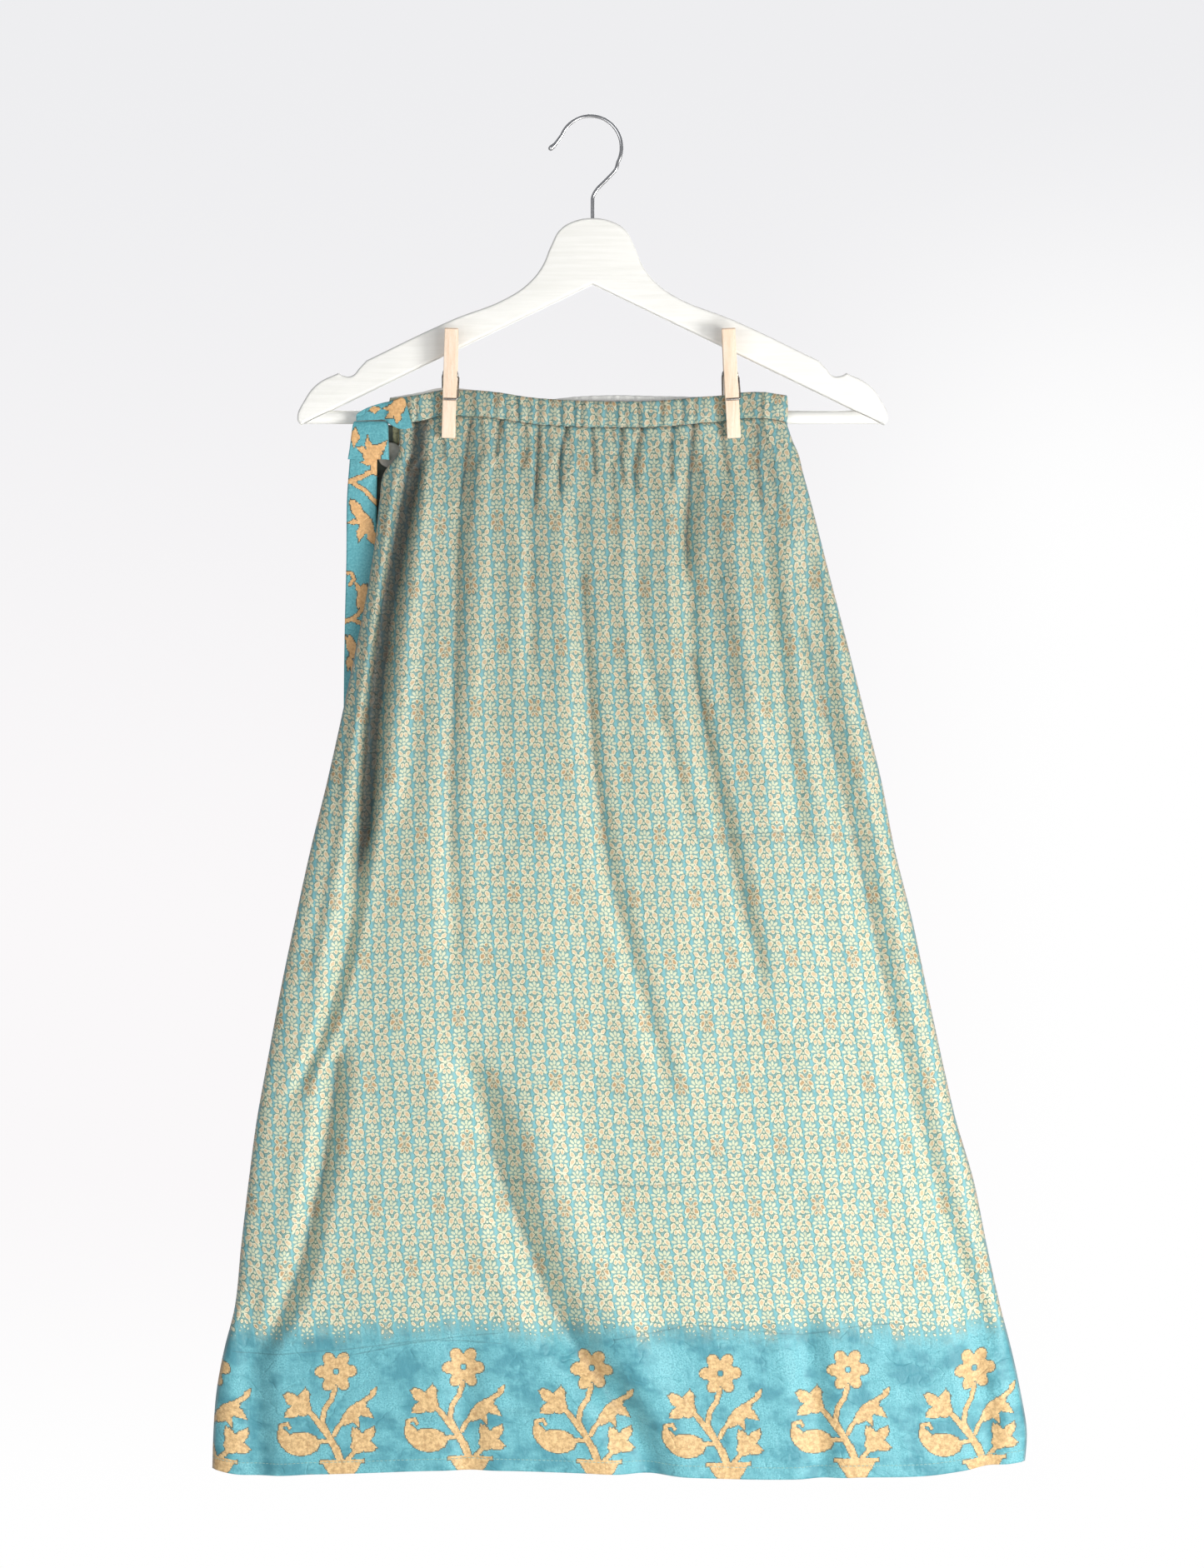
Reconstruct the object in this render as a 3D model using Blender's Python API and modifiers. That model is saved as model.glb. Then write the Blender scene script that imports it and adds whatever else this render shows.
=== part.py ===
"""A gathered A-line skirt with a waist tie, pegged on a wooden clothes hanger.

Z is up, X runs to the viewer's right and the garment faces -Y. The origin is inside the crest of the
hanger's hook, where a rail holds it. Sizes and tables are in millimetres, and a drop is a distance
below the origin. Each cloth piece is a wall whose outer points are worked out from a few short tables:
the outline and depth of its sections, and one row for each fold.
"""

import math

import bmesh
import bpy
import numpy as np
from mathutils import Matrix, Vector

MM = 0.001
SEAM = 0.3  # gap that pieces keep at a seam

# The hanger
HANGER_X = 2.5  # middle of the hanger, beside the hook's crest
HANGER_WALL = 12.0
HANGER_EDGE = 2.0  # rounding of the wood's edges
ARM_APEX = 123.8  # drop of the underside at the middle
ARM_SLOPE = 0.484  # fall of the underside for each millimetre outwards
BAR_DROP = 222.7
BAR_RADIUS = 5.0
WIRE_RADIUS = 1.4  # the hook
HOOK_RADIUS = 23.0
HOOK_CENTRE_X = 1.0

# The pegs
PEG_WIDTH = 10.0
PEG_THICKNESS = 6.3
PEG_LENGTH = 81.0
PEG_HANDLE = 3.1  # what the handle's inner taper takes off at its tip
PEG_NOTCH = 65.0  # from the handle's tip to the notch that takes the bar
PEG_NOTCH_RADIUS = 5.6
PEG_NOTCH_OUT = 2.0  # the notch's centre, in front of the inner face
PEG_COIL = 33.0  # from the handle's tip to the coil
PEG_COIL_RADIUS = 3.8
PEG_COIL_OUT = 2.4
PEG_GROOVE = 52.4  # from the handle's tip to the wire's groove
PEG_GROOVE_DEPTH = 1.2
PEG_GROOVE_WIDTH = 2.2
PEG_WIRE = 0.7  # radius of the spring's wire
COIL_TURNS = 5
COIL_RADIUS = 2.1
FRONT_LEAN = math.radians(3.5)
BACK_LEAN = math.radians(19.5)
JAW_FRONT = 11.9  # from the bar's centre forward to the front half's inner face
PEGS = (
    # name, across, turn in the plane of the hanger
    ("left", -103.5, math.radians(1.8)),
    ("right", 106.3, math.radians(-3.1)),
)

# The skirt
CLOTH = 1.2
HEM_WALL = 1.9
HEM_DROP = 1005.0
HEM_TURN = 9.0  # height of the turned and stitched hem
CASING_WALL = 2.2
CASING_HEIGHT = 19.5
GATHERS = 36  # across the front, and across the back
COLUMNS = 2 * GATHERS
WAIST_LEFT, WAIST_RIGHT = -148.0, 147.0
SIDE_ROUND = 2.5  # power of the curve that a section's sides follow
PINCHED_FRONT = -10.6
PINCH_HALF, PINCH_FADE = 8.0, 18.0
PINCH_DROP, PINCH_LENGTH = 240.0, 70.0

OUTLINE = (
    # drop, left edge, right edge
    (230, -141.0, 146.8),
    (242, -140.5, 151.0),
    (251, -141.5, 155.0),
    (263, -151.0, 158.0),
    (285, -155.2, 161.5),
    (310, -158.0, 167.5),
    (346, -163.5, 176.5),
    (395, -173.0, 189.5),
    (445, -183.5, 203.0),
    (494, -194.5, 216.0),
    (543, -206.5, 226.5),
    (593, -217.5, 239.0),
    (642, -227.8, 249.5),
    (691, -237.0, 260.0),
    (718, -242.0, 266.0),
    (740, -246.0, 271.0),
    (790, -252.8, 285.5),
    (839, -258.5, 295.5),
    (888, -264.0, 306.5),
    (913, -270.5, 313.0),
    (950, -277.2, 321.0),
    (975, -279.0, 325.0),
    (1008, -280.0, 322.8),
)
DEPTH = (
    # drop, front face, back face
    (200, -17.1, -5.9),
    (231, -17.1, -5.9),
    (263, -18.8, -2.4),
    (346, -20.5, 4.2),
    (494, -22.8, 10.0),
    (691, -24.8, 14.7),
    (888, -25.4, 17.2),
    (1008, -24.4, 17.0),
)
CASING_TOP = (
    # share of the waist from the left, drop
    (0.00, 210.0),
    (0.08, 207.0),
    (0.12, 204.0),
    (0.21, 204.0),
    (0.27, 205.7),
    (0.35, 209.4),
    (0.43, 211.3),
    (0.58, 212.5),
    (0.68, 211.9),
    (0.77, 209.4),
    (0.83, 207.6),
    (0.895, 205.1),
    (0.94, 206.4),
    (1.00, 210.0),
)
BACK_RISE = (
    # share of the waist from the left, how far the back half stands above the front
    (0.00, 0.5),
    (0.05, 1.8),
    (0.18, 1.2),
    (0.27, 0.2),
    (0.40, 0.6),
    (0.50, 2.4),
    (0.68, 2.8),
    (0.79, 0.4),
    (1.00, 0.4),
)
HEM = (
    # share of the hem from the left, drop
    (0.00, 1003.5),
    (0.03, 1006.5),
    (0.13, 1005.3),
    (0.31, 1001.6),
    (0.51, 1004.7),
    (0.69, 1008.4),
    (0.79, 1007.2),
    (0.89, 1005.9),
    (0.945, 1001.0),
    (1.00, 997.9),
)
FRONT_DROPS = (
    231, 240, 251, 263, 285, 315, 355, 400, 450, 505, 560,
    615, 670, 718, 740, 790, 845, 900, 950, HEM_DROP - HEM_TURN, HEM_DROP,
)
BACK_DROPS = (
    231, 251, 263, 300, 350, 420, 500, 580, 660, 740, 820, 900, 960, HEM_DROP - HEM_TURN, HEM_DROP,
)
FOLD_FADE = 45.0
FRONT_FOLDS = (
    # depth of the valley (a ridge is negative), half width, (across, drop) down its length
    (4.5, 8, ((-124, 225), (-143, 334), (-156, 440), (-168, 550), (-192, 666), (-223, 740))),
    (-4.5, 9, ((-110, 225), (-127, 334), (-138, 440), (-150, 540))),
    (-2.5, 7, ((-136, 240), (-156, 334), (-171, 440), (-186, 560), (-207, 666))),
    (3.5, 11, ((-95, 215), (-98, 309), (-101, 450), (-102, 540), (-99, 650))),
    (2.5, 7, ((-54, 225), (-45, 310), (-44, 430))),
    (3.5, 10, ((-14, 260), (-5, 370), (5, 500), (17, 568), (36, 642), (64, 740))),
    (4.0, 9, ((82, 225), (73, 320), (76, 414), (94, 494), (110, 562), (130, 660))),
    (2.5, 8, ((32, 300), (42, 408), (58, 470), (78, 545))),
    (3.0, 14, ((119, 225), (131, 328), (144, 450))),
    (-4.0, 16, ((105, 250), (112, 350), (125, 470))),
    (4.5, 14, ((162, 360), (177, 451), (196, 531), (230, 697), (273, 851), (303, 930))),
    (9.0, 17, ((-84, 725), (-57, 808), (-35, 864), (-10, 913), (22, 950), (45, 1010))),
    (-5.0, 22, ((-50, 700), (-15, 808), (20, 880), (55, 960))),
    (5.0, 12, ((-185, 670), (-190, 740), (-202, 802), (-217, 864), (-252, 935))),
    (4.0, 12, ((276, 900), (291, 950), (296, 1010))),
    (4.0, 12, ((158, 880), (163, 925), (168, 975))),
)
BACK_FOLDS = (
    (-4.5, 10, ((-100, 225), (-112, 330), (-130, 480), (-150, 640))),
    (-4.0, 12, ((-48, 235), (-52, 380), (-60, 560), (-70, 760))),
    (-4.0, 11, ((12, 240), (18, 400), (20, 600), (10, 800))),
    (-5.0, 13, ((70, 225), (86, 360), (112, 540), (140, 760), (150, 1010))),
    (-4.0, 12, ((118, 240), (150, 420), (190, 620), (225, 830))),
    (-7.0, 18, ((-120, 700), (-100, 820), (-80, 930), (-72, 1010))),
)

# The tie
TIE_CLOTH = 1.2
TIE_WRAP = (
    # top across, top drop, bottom across, bottom drop, face (None where it follows the casing)
    (-172.5, 222.5, -172.5, 226.4, -12.0),
    (-170.5, 220.4, -170.5, 226.4, -12.6),
    (-164.5, 217.2, -164.5, 226.2, -13.4),
    (-157.0, 214.6, -157.0, 226.0, -14.0),
    (-151.5, 213.2, -151.5, 226.0, -14.6),
    (-148.0, 212.6, -147.0, 229.6, None),
    (-143.5, 211.4, -141.0, 232.6, None),
    (-139.0, 209.6, -135.5, 233.0, None),
    (-136.0, 211.0, -130.6, 231.8, None),
)
TIE_FOLD = (
    # drop, left, right, face
    (226.8, -173.4, -151.0, -12.2),
    (227.8, -174.2, -151.0, -13.6),
    (231.0, -175.0, -150.9, -14.4),
    (238.0, -176.0, -150.8, -14.2),
    (247.0, -177.2, -150.5, -13.8),
    (255.2, -178.6, -150.3, -13.0),
)
TIE_RETURN_OUT, TIE_RETURN_BACK = 2.2, 4.6  # the fold's side, to the right and backwards
TIE_TAIL = (
    # drop, left, right, face
    (238, -176.4, -156.8, -12.0),
    (247, -177.0, -156.9, -11.4),
    (256, -177.5, -157.1, -10.2),
    (285, -179.8, -157.7, -6.0),
    (322, -180.4, -158.2, -2.8),
    (345, -181.0, -159.0, -1.0),
    (381, -182.0, -160.0, 1.4),
    (436, -183.0, -161.0, 5.2),
    (500, -183.2, -161.2, 8.8),
    (560, -182.0, -160.0, 11.6),
    (620, -179.5, -157.5, 13.8),
)
TIE_UNDER = (
    # drop, left, right, face
    (230.6, -165.0, -141.6, -8.8),
    (236.0, -166.0, -141.4, -6.6),
    (241.0, -167.0, -141.4, -4.2),
    (262.0, -168.0, -146.0, -4.0),
    (290.0, -168.0, -146.5, -2.2),
    (322.0, -168.5, -147.0, 0.6),
    (345.0, -169.0, -147.5, 2.8),
    (381.0, -170.0, -148.5, 5.4),
    (430.0, -171.0, -149.5, 8.6),
)
BUTTON_X, BUTTON_DROP, BUTTON_FRONT = -147.8, 251.3, -6.6
BUTTON_RADIUS, BUTTON_THICKNESS = 9.5, 2.0

HANGER_HALF = (
    # out from the middle, drop, corner (1) or smooth (0); from the top down the arm and back underneath
    (0.0, 75.2, 0),
    (13.0, 77.2, 0),
    (24.0, 83.6, 0),
    (31.0, 96.0, 0),
    (37.5, 111.0, 0),
    (47.5, 123.4, 0),
    (63.4, 134.4, 0),
    (104.7, 150.9, 0),
    (168.0, 181.0, 1),
    (173.2, 186.6, 0),
    (178.6, 192.2, 0),
    (184.8, 192.2, 0),
    (188.6, 190.2, 1),
    (204.5, 198.4, 0),
    (213.8, 210.1, 0),
    (219.2, 224.8, 0),
    (217.0, 228.6, 1),
    (0.0, ARM_APEX, 1),
)
HOOK_STEM = (
    # across, drop, from where the arc ends down into the head
    (19.4, 39.0),
    (12.3, 46.6),
    (6.0, 53.0),
    (2.9, 58.5),
    (HANGER_X, 64.0),
    (HANGER_X, 74.9),
)


def clear_scene():
    for item in list(bpy.data.objects):
        bpy.data.objects.remove(item, do_unlink=True)


def material(name, colour, roughness, metallic=0.0):
    made = bpy.data.materials.new(name)
    made.use_nodes = True
    shader = made.node_tree.nodes["Principled BSDF"]
    shader.inputs["Base Color"].default_value = (*colour, 1.0)
    shader.inputs["Roughness"].default_value = roughness
    shader.inputs["Metallic"].default_value = metallic
    return made


def smooth_step(value):
    """0 below 0, 1 above 1, and a soft S between."""
    value = np.clip(value, 0.0, 1.0)
    return value * value * (3.0 - 2.0 * value)


def along(at, table, column):
    """A table's column at the given drop or share, on a smooth curve through its rows."""
    rows = np.array([row[: column + 1] for row in table], float)
    x, y = rows[:, 0], rows[:, column]
    slope = np.gradient(y, x)
    at = np.clip(at, x[0], x[-1])
    i = np.clip(np.searchsorted(x, at, side="right") - 1, 0, len(x) - 2)
    step = x[i + 1] - x[i]
    u = (at - x[i]) / step
    ends = (2 * u**3 - 3 * u**2 + 1) * y[i] + (3 * u**2 - 2 * u**3) * y[i + 1]
    turns = (u**3 - 2 * u**2 + u) * slope[i] + (u**3 - u**2) * slope[i + 1]
    return ends + step * turns


def column_shares():
    """Where the gathers' crests and valleys stand across a panel, unevenly spaced as on an elastic."""
    j = np.arange(COLUMNS)
    steps = 1.0 + 0.28 * np.sin(2.4 * j) + 0.16 * np.sin(5.1 * j + 1.0)
    return np.concatenate([[0.0], np.cumsum(steps)]) / steps.sum()


def gathers(below, phase):
    """How far each column stands out below the casing: fine gathers that merge by twos and fours and fade."""
    j = np.arange(COLUMNS + 1)[None, :]
    uneven = 1.0 + 0.35 * np.sin(1.7 * j + 0.5 + phase)
    fine = np.cos(math.pi * j) * uneven * (1.1 * np.exp(-below / 34.0) + 0.12 * np.exp(-below / 260.0))
    pairs = np.cos(math.pi * j / 2 + 0.6 + phase) * 1.2 * np.exp(-(((below - 48.0) / 42.0) ** 2))
    fours = np.cos(math.pi * j / 4 + 1.1 + phase) * 1.5 * np.exp(-(((below - 120.0) / 95.0) ** 2))
    return fine + pairs + fours


def fold_depth(across, drop, folds):
    """The sum of the folds at each point. Each is (1 - 0.8 q) e^(-0.8 q), q being the square of the
    distance from its line over its half width, and it fades in and out at its ends."""
    total = np.zeros_like(across)
    for depth, half_width, path in folds:
        line = along(drop, [(down, x) for x, down in path], 1)
        q = ((across - line) / half_width) ** 2
        first, last = path[0][1], path[-1][1]
        ends = smooth_step((drop - first) / FOLD_FADE) * smooth_step((last - drop) / FOLD_FADE)
        total += depth * ends * (1.0 - 0.8 * q) * np.exp(-0.8 * q)
    return total


def pinch(across, drop):
    """1 where a peg's jaws press the cloth, 0 away from them."""
    near = np.zeros_like(across)
    for _, peg, _ in PEGS:
        near = np.maximum(near, 1.0 - smooth_step((np.abs(across - peg) - PINCH_HALF) / PINCH_FADE))
    return near * (1.0 - smooth_step((drop - PINCH_DROP) / PINCH_LENGTH))


def sheet_face(side, share, across, drop):
    """Y of a plain front (side -1) or back (side 1): a section swells from its side seams to its face."""
    middle = (along(drop, DEPTH, 1) + along(drop, DEPTH, 2)) / 2
    face = along(drop, DEPTH, 1 if side < 0 else 2)
    swell = (1.0 - np.abs(2 * share - 1) ** SIDE_ROUND) ** (1 / SIDE_ROUND)
    y = middle + (face - middle) * swell
    if side < 0:
        pressed = pinch(across, drop)
        y = y + (PINCHED_FRONT - y) * pressed
    return y


def panel_points(side, drops, folds):
    """Outer points of the front or back panel, a row for each drop and a column for each crest or valley."""
    share = column_shares()[None, :]
    _, first_left, first_right = OUTLINE[0]
    at_waist = (first_left + share * (first_right - first_left) - WAIST_LEFT) / (WAIST_RIGHT - WAIST_LEFT)
    top = along(at_waist, CASING_TOP, 1) + CASING_HEIGHT + SEAM
    bottom = along(share, HEM, 1)
    down = (np.array(drops, float)[:, None] - drops[0]) / (drops[-1] - drops[0])
    drop = top + down * (bottom - top)
    left, right = along(drop, OUTLINE, 1), along(drop, OUTLINE, 2)
    across = left + share * (right - left)
    from_edge = np.minimum(share, 1 - share) * (right - left)
    calm = smooth_step(from_edge / 14.0) * (1.0 - pinch(across, drop))
    y = sheet_face(side, share, across, drop)
    y = y + side * gathers(drop - top, side) * calm
    y = y - side * fold_depth(across, drop, folds) * calm
    y[:, [0, -1]] += side * SEAM / 2
    return np.stack([across, y, -drop], axis=-1)


def outward_normals(points, side):
    """Unit normals of a grid of points, on the side that faces -Y (side -1) or +Y (side 1)."""
    normal = np.cross(np.gradient(points, axis=1), np.gradient(points, axis=0))
    normal /= np.linalg.norm(normal, axis=-1, keepdims=True)
    return normal * np.sign(normal[..., 1].mean() * side)


def finish(name, points, faces, look):
    """A mesh object from points in millimetres, its faces pointing out and shaded smooth."""
    mesh = bpy.data.meshes.new(name)
    mesh.from_pydata((np.asarray(points) * MM).tolist(), [], [list(map(int, face)) for face in faces])
    work = bmesh.new()
    work.from_mesh(mesh)
    bmesh.ops.recalc_face_normals(work, faces=work.faces)
    work.to_mesh(mesh)
    work.free()
    mesh.shade_smooth()
    mesh.set_sharp_from_angle(angle=math.radians(50))
    mesh.materials.append(look)
    made = bpy.data.objects.new(name, mesh)
    garment.objects.link(made)
    return made


def wall(name, outer, inner, look):
    """A closed wall between two grids of points."""
    rows, columns, _ = outer.shape
    index = np.arange(rows * columns).reshape(rows, columns)
    count = rows * columns
    quads = np.stack([index[:-1, :-1], index[:-1, 1:], index[1:, 1:], index[1:, :-1]], -1).reshape(-1, 4)
    rim = np.concatenate([index[0], index[1:, -1], index[-1, -2::-1], index[-2:0:-1, 0]])
    after = np.roll(rim, -1)
    sides = np.stack([rim, rim + count, after + count, after], -1)
    faces = np.concatenate([quads, quads[:, ::-1] + count, sides])
    return finish(name, np.concatenate([outer.reshape(-1, 3), inner.reshape(-1, 3)]), faces, look)


def make_panel(name, side, drops, folds, look):
    outer = panel_points(side, drops, folds)
    thickness = np.where(np.arange(len(drops)) < len(drops) - 2, CLOTH, HEM_WALL)[:, None, None]
    normal = outward_normals(outer, side)
    normal[:, 0], normal[:, -1] = (-1, 0, 0), (1, 0, 0)
    wall(name, outer, outer - normal * thickness, look)


def make_casing(name, side, look):
    """Half of the elastic casing: a ring of six points carried along the waist, in and out with the gathers."""
    share = column_shares()
    across = WAIST_LEFT + share * (WAIST_RIGHT - WAIST_LEFT)
    bottom = along(share, CASING_TOP, 1) + CASING_HEIGHT
    top = bottom - CASING_HEIGHT - (along(share, BACK_RISE, 1) if side > 0 else 0.0)
    uneven = 0.36 + 0.12 * np.sin(1.7 * np.arange(COLUMNS + 1) + 0.5 + side)
    from_edge = np.minimum(share, 1 - share) * (WAIST_RIGHT - WAIST_LEFT)
    calm = smooth_step(from_edge / 14.0) * (1.0 - pinch(across, top))
    ripple = side * np.cos(math.pi * np.arange(COLUMNS + 1)) * uneven * calm
    face = sheet_face(side, share, across, top) + ripple
    height = bottom - top
    ring = (
        # down from the top, in from the face
        (height, 0.3),
        (height / 2, 0.0),
        (1.1, 0.35),
        (0.0, CASING_WALL / 2),
        (1.1, CASING_WALL - 0.35),
        (height, CASING_WALL),
    )
    middle = (sheet_face(-1, share, across, top) + sheet_face(1, share, across, top)) / 2 + side * SEAM / 2
    seam_y = middle[0]
    points = []
    for down, inward in ring:
        x, y = across.copy(), side * np.maximum(side * (face - side * inward), side * middle)
        x[0], x[-1] = WAIST_LEFT + inward, WAIST_RIGHT - inward
        y[[0, -1]] = seam_y
        points.append(np.stack([x, y, -(top + down)], -1))
    ring_size, stations = len(ring), COLUMNS + 1
    index = np.arange(ring_size * stations).reshape(ring_size, stations)
    after = np.roll(index, -1, axis=0)
    faces = np.stack([index[:, :-1], index[:, 1:], after[:, 1:], after[:, :-1]], -1).reshape(-1, 4).tolist()
    faces += [index[::-1, 0].tolist(), index[:, -1].tolist()]
    finish(name, np.concatenate(points), faces, look)


def make_strip(name, table, look, columns=4):
    """A hanging run of the tie: a table row gives its drop, left, right and face, and it bows a little."""
    share = np.linspace(0.0, 1.0, columns + 1)[None, :]
    drop, left, right, face = np.array(table, float).T[:, :, None]
    across = left + share * (right - left)
    y = face + 0.6 * (2 * share - 1) ** 2
    outer = np.stack([across, y, -drop + 0 * across], -1)
    wall(name, outer, outer - outward_normals(outer, -1) * TIE_CLOTH, look)


def make_tie_fold(look):
    """The tie's folded top: a face with a side that returns to the back at the right."""
    drop, left, right, face = np.array(TIE_FOLD, float).T
    stations = [(left + share * (right - left), face) for share in (0.0, 0.25, 0.5, 0.75, 1.0)]
    stations.append((right + TIE_RETURN_OUT * 0.8, face + TIE_RETURN_BACK * 0.3))
    stations.append((right + TIE_RETURN_OUT, face + TIE_RETURN_BACK))
    outer = np.stack([np.stack([x, y, -drop], -1) for x, y in stations], axis=1)
    wall("tie_fold", outer, outer - outward_normals(outer, -1) * TIE_CLOTH, look)


def make_tie_wrap(look):
    """The start of the tie, sewn over the casing's end and running out to the left of it."""
    columns = []
    for top_x, top_drop, bottom_x, bottom_drop, face in TIE_WRAP:
        share = np.linspace(0.0, 1.0, 4)
        across = top_x + share * (bottom_x - top_x)
        drop = top_drop + share * (bottom_drop - top_drop)
        if face is None:
            at = np.clip((across - WAIST_LEFT) / (WAIST_RIGHT - WAIST_LEFT), 0.0, 1.0)
            face = sheet_face(-1, at, across, drop) - TIE_CLOTH - 0.9 - 1.6 * (1 - smooth_step(at / 0.03))
        columns.append(np.stack([across, face + 0 * across, -drop], -1))
    outer = np.stack(columns, axis=1)
    inner = outer + np.array([0.0, TIE_CLOTH, 0.0])
    wall("tie_wrap", outer, inner, look)


def make_button(look):
    bpy.ops.mesh.primitive_cylinder_add(
        vertices=24, radius=BUTTON_RADIUS * MM, depth=BUTTON_THICKNESS * MM, rotation=(math.pi / 2, 0, 0)
    )
    made = bpy.context.object
    made.name = made.data.name = "waist_button"
    made.location = Vector((BUTTON_X, BUTTON_FRONT + BUTTON_THICKNESS / 2, -BUTTON_DROP)) * MM
    edge = made.modifiers.new("rounded", "BEVEL")
    edge.width, edge.segments, edge.limit_method = 0.5 * MM, 2, "ANGLE"
    made.data.materials.append(look)
    place(made)


def place(made):
    """Moves an object that an operator made into the object's own collection."""
    for holder in list(made.users_collection):
        holder.objects.unlink(made)
    garment.objects.link(made)


def curve_object(name, kind, look):
    data = bpy.data.curves.new(name, "CURVE")
    data.dimensions = kind
    data.materials.append(look)
    made = bpy.data.objects.new(name, data)
    garment.objects.link(made)
    return made, data


def wire(name, points, radius, look, swell=None):
    """A round wire along points in millimetres; swell scales its radius at each point."""
    made, data = curve_object(name, "3D", look)
    data.bevel_depth = radius * MM
    data.bevel_resolution = 2 if radius > 1 else 1
    data.use_fill_caps = True
    spline = data.splines.new("POLY")
    spline.points.add(len(points) - 1)
    for i, point in enumerate(points):
        spline.points[i].co = (*(Vector(point) * MM), 1.0)
        spline.points[i].radius = swell[i] if swell else 1.0
    spline.use_smooth = True
    return made


def make_hanger_body(look):
    """The flat wooden body: half an outline and its mirror image, with rounded edges, standing in XZ."""
    left_half = [(-x, drop, corner) for x, drop, corner in reversed(HANGER_HALF[1:-1])]
    outline = list(HANGER_HALF) + left_half
    made, data = curve_object("hanger_body", "2D", look)
    data.fill_mode = "BOTH"
    data.extrude = (HANGER_WALL / 2 - HANGER_EDGE) * MM
    data.bevel_depth = HANGER_EDGE * MM
    data.offset = -HANGER_EDGE * MM
    data.bevel_resolution = 1
    data.resolution_u = 2
    spline = data.splines.new("BEZIER")
    spline.bezier_points.add(len(outline) - 1)
    spline.use_cyclic_u = True
    for knot, (x, drop, corner) in zip(spline.bezier_points, outline):
        knot.co = ((x + HANGER_X) * MM, -drop * MM, 0.0)
        knot.handle_left_type = knot.handle_right_type = "VECTOR" if corner else "AUTO"
    made.rotation_euler = (math.pi / 2, 0, 0)


def make_hanger_bar(look):
    """The round bar, its ends cut to the slope of the arms' undersides."""
    bpy.ops.mesh.primitive_cylinder_add(
        vertices=20, radius=BAR_RADIUS * MM, depth=1.0, end_fill_type="TRIFAN", rotation=(0, math.pi / 2, 0)
    )
    made = bpy.context.object
    made.name = made.data.name = "hanger_bar"
    bpy.ops.object.transform_apply(rotation=True)
    for vertex in made.data.vertices:
        drop = BAR_DROP - vertex.co.z / MM
        reach = (drop - ARM_APEX) / ARM_SLOPE - SEAM / math.sin(math.atan(ARM_SLOPE))
        vertex.co.x = math.copysign(reach * MM, vertex.co.x)
    made.location = (HANGER_X * MM, 0, -BAR_DROP * MM)
    made.data.shade_smooth()
    made.data.set_sharp_from_angle(angle=math.radians(40))
    made.data.materials.append(look)
    place(made)


def make_hook(look):
    """The hook: a ball end, an arc over the rail and a stem that bends back to the middle of the hanger."""
    crest = WIRE_RADIUS
    centre_z = crest - HOOK_RADIUS
    points = [(-29.6, 0, -23.6), (-28.2, 0, -22.4), (-26.6, 0, -20.9), (-24.2, 0, -18.2)]
    for step in range(17):
        angle = math.radians(158 - step * 11.7)
        reach = HOOK_RADIUS + 0.5 * max(0.0, -math.sin(angle)) * step / 8
        points.append((HOOK_CENTRE_X + reach * math.cos(angle), 0, centre_z + HOOK_RADIUS * math.sin(angle)))
    points += [(x, 0, -drop) for x, drop in HOOK_STEM]
    swell = [0.7, 1.45, 1.4, 1.0] + [1.0] * (len(points) - 4)
    wire("hanger_hook", points, WIRE_RADIUS, look, swell)


def peg_outline():
    """Side view of one half, as (out from the inner face, distance from the handle's tip)."""
    notch = math.acos(PEG_NOTCH_OUT / PEG_NOTCH_RADIUS)
    coil = math.acos(PEG_COIL_OUT / PEG_COIL_RADIUS)
    inner = [(PEG_HANDLE, 0.0), (0.0, PEG_COIL - 5.5)]
    for at, out, radius, half in (
        (PEG_COIL, PEG_COIL_OUT, PEG_COIL_RADIUS, coil),
        (PEG_NOTCH, PEG_NOTCH_OUT, PEG_NOTCH_RADIUS, notch),
    ):
        inner += [
            (radius * math.cos(a) - out, at + radius * math.sin(a)) for a in np.linspace(-half, half, 7)
        ]
    half_groove = PEG_GROOVE_WIDTH / 2
    outer = [
        (0.6, PEG_LENGTH),
        (PEG_THICKNESS - 1.2, PEG_LENGTH),
        (PEG_THICKNESS, PEG_LENGTH - 1.4),
        (PEG_THICKNESS, PEG_GROOVE + half_groove),
        (PEG_THICKNESS - PEG_GROOVE_DEPTH, PEG_GROOVE + half_groove),
        (PEG_THICKNESS - PEG_GROOVE_DEPTH, PEG_GROOVE - half_groove),
        (PEG_THICKNESS, PEG_GROOVE - half_groove),
        (PEG_THICKNESS, 1.0),
        (PEG_THICKNESS - 0.9, 0.0),
    ]
    return inner + outer


def peg_frame(side, peg_x, turn):
    """Placing of a half: its own axes are out from the inner face, towards the handle, and across."""
    lean = FRONT_LEAN if side < 0 else BACK_LEAN
    up = Vector((0, -math.sin(lean), math.cos(lean)))
    out = Vector((0, side * math.cos(lean), side * math.sin(lean)))
    gap = JAW_FRONT if side < 0 else PEG_NOTCH_OUT
    frame = Matrix((out, up, out.cross(up))).transposed().to_4x4()
    frame.translation = out * gap * MM
    pivot = Matrix.Translation(Vector((peg_x, 0, -BAR_DROP)) * MM)
    return pivot @ Matrix.Rotation(turn, 4, "Y") @ frame


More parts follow.
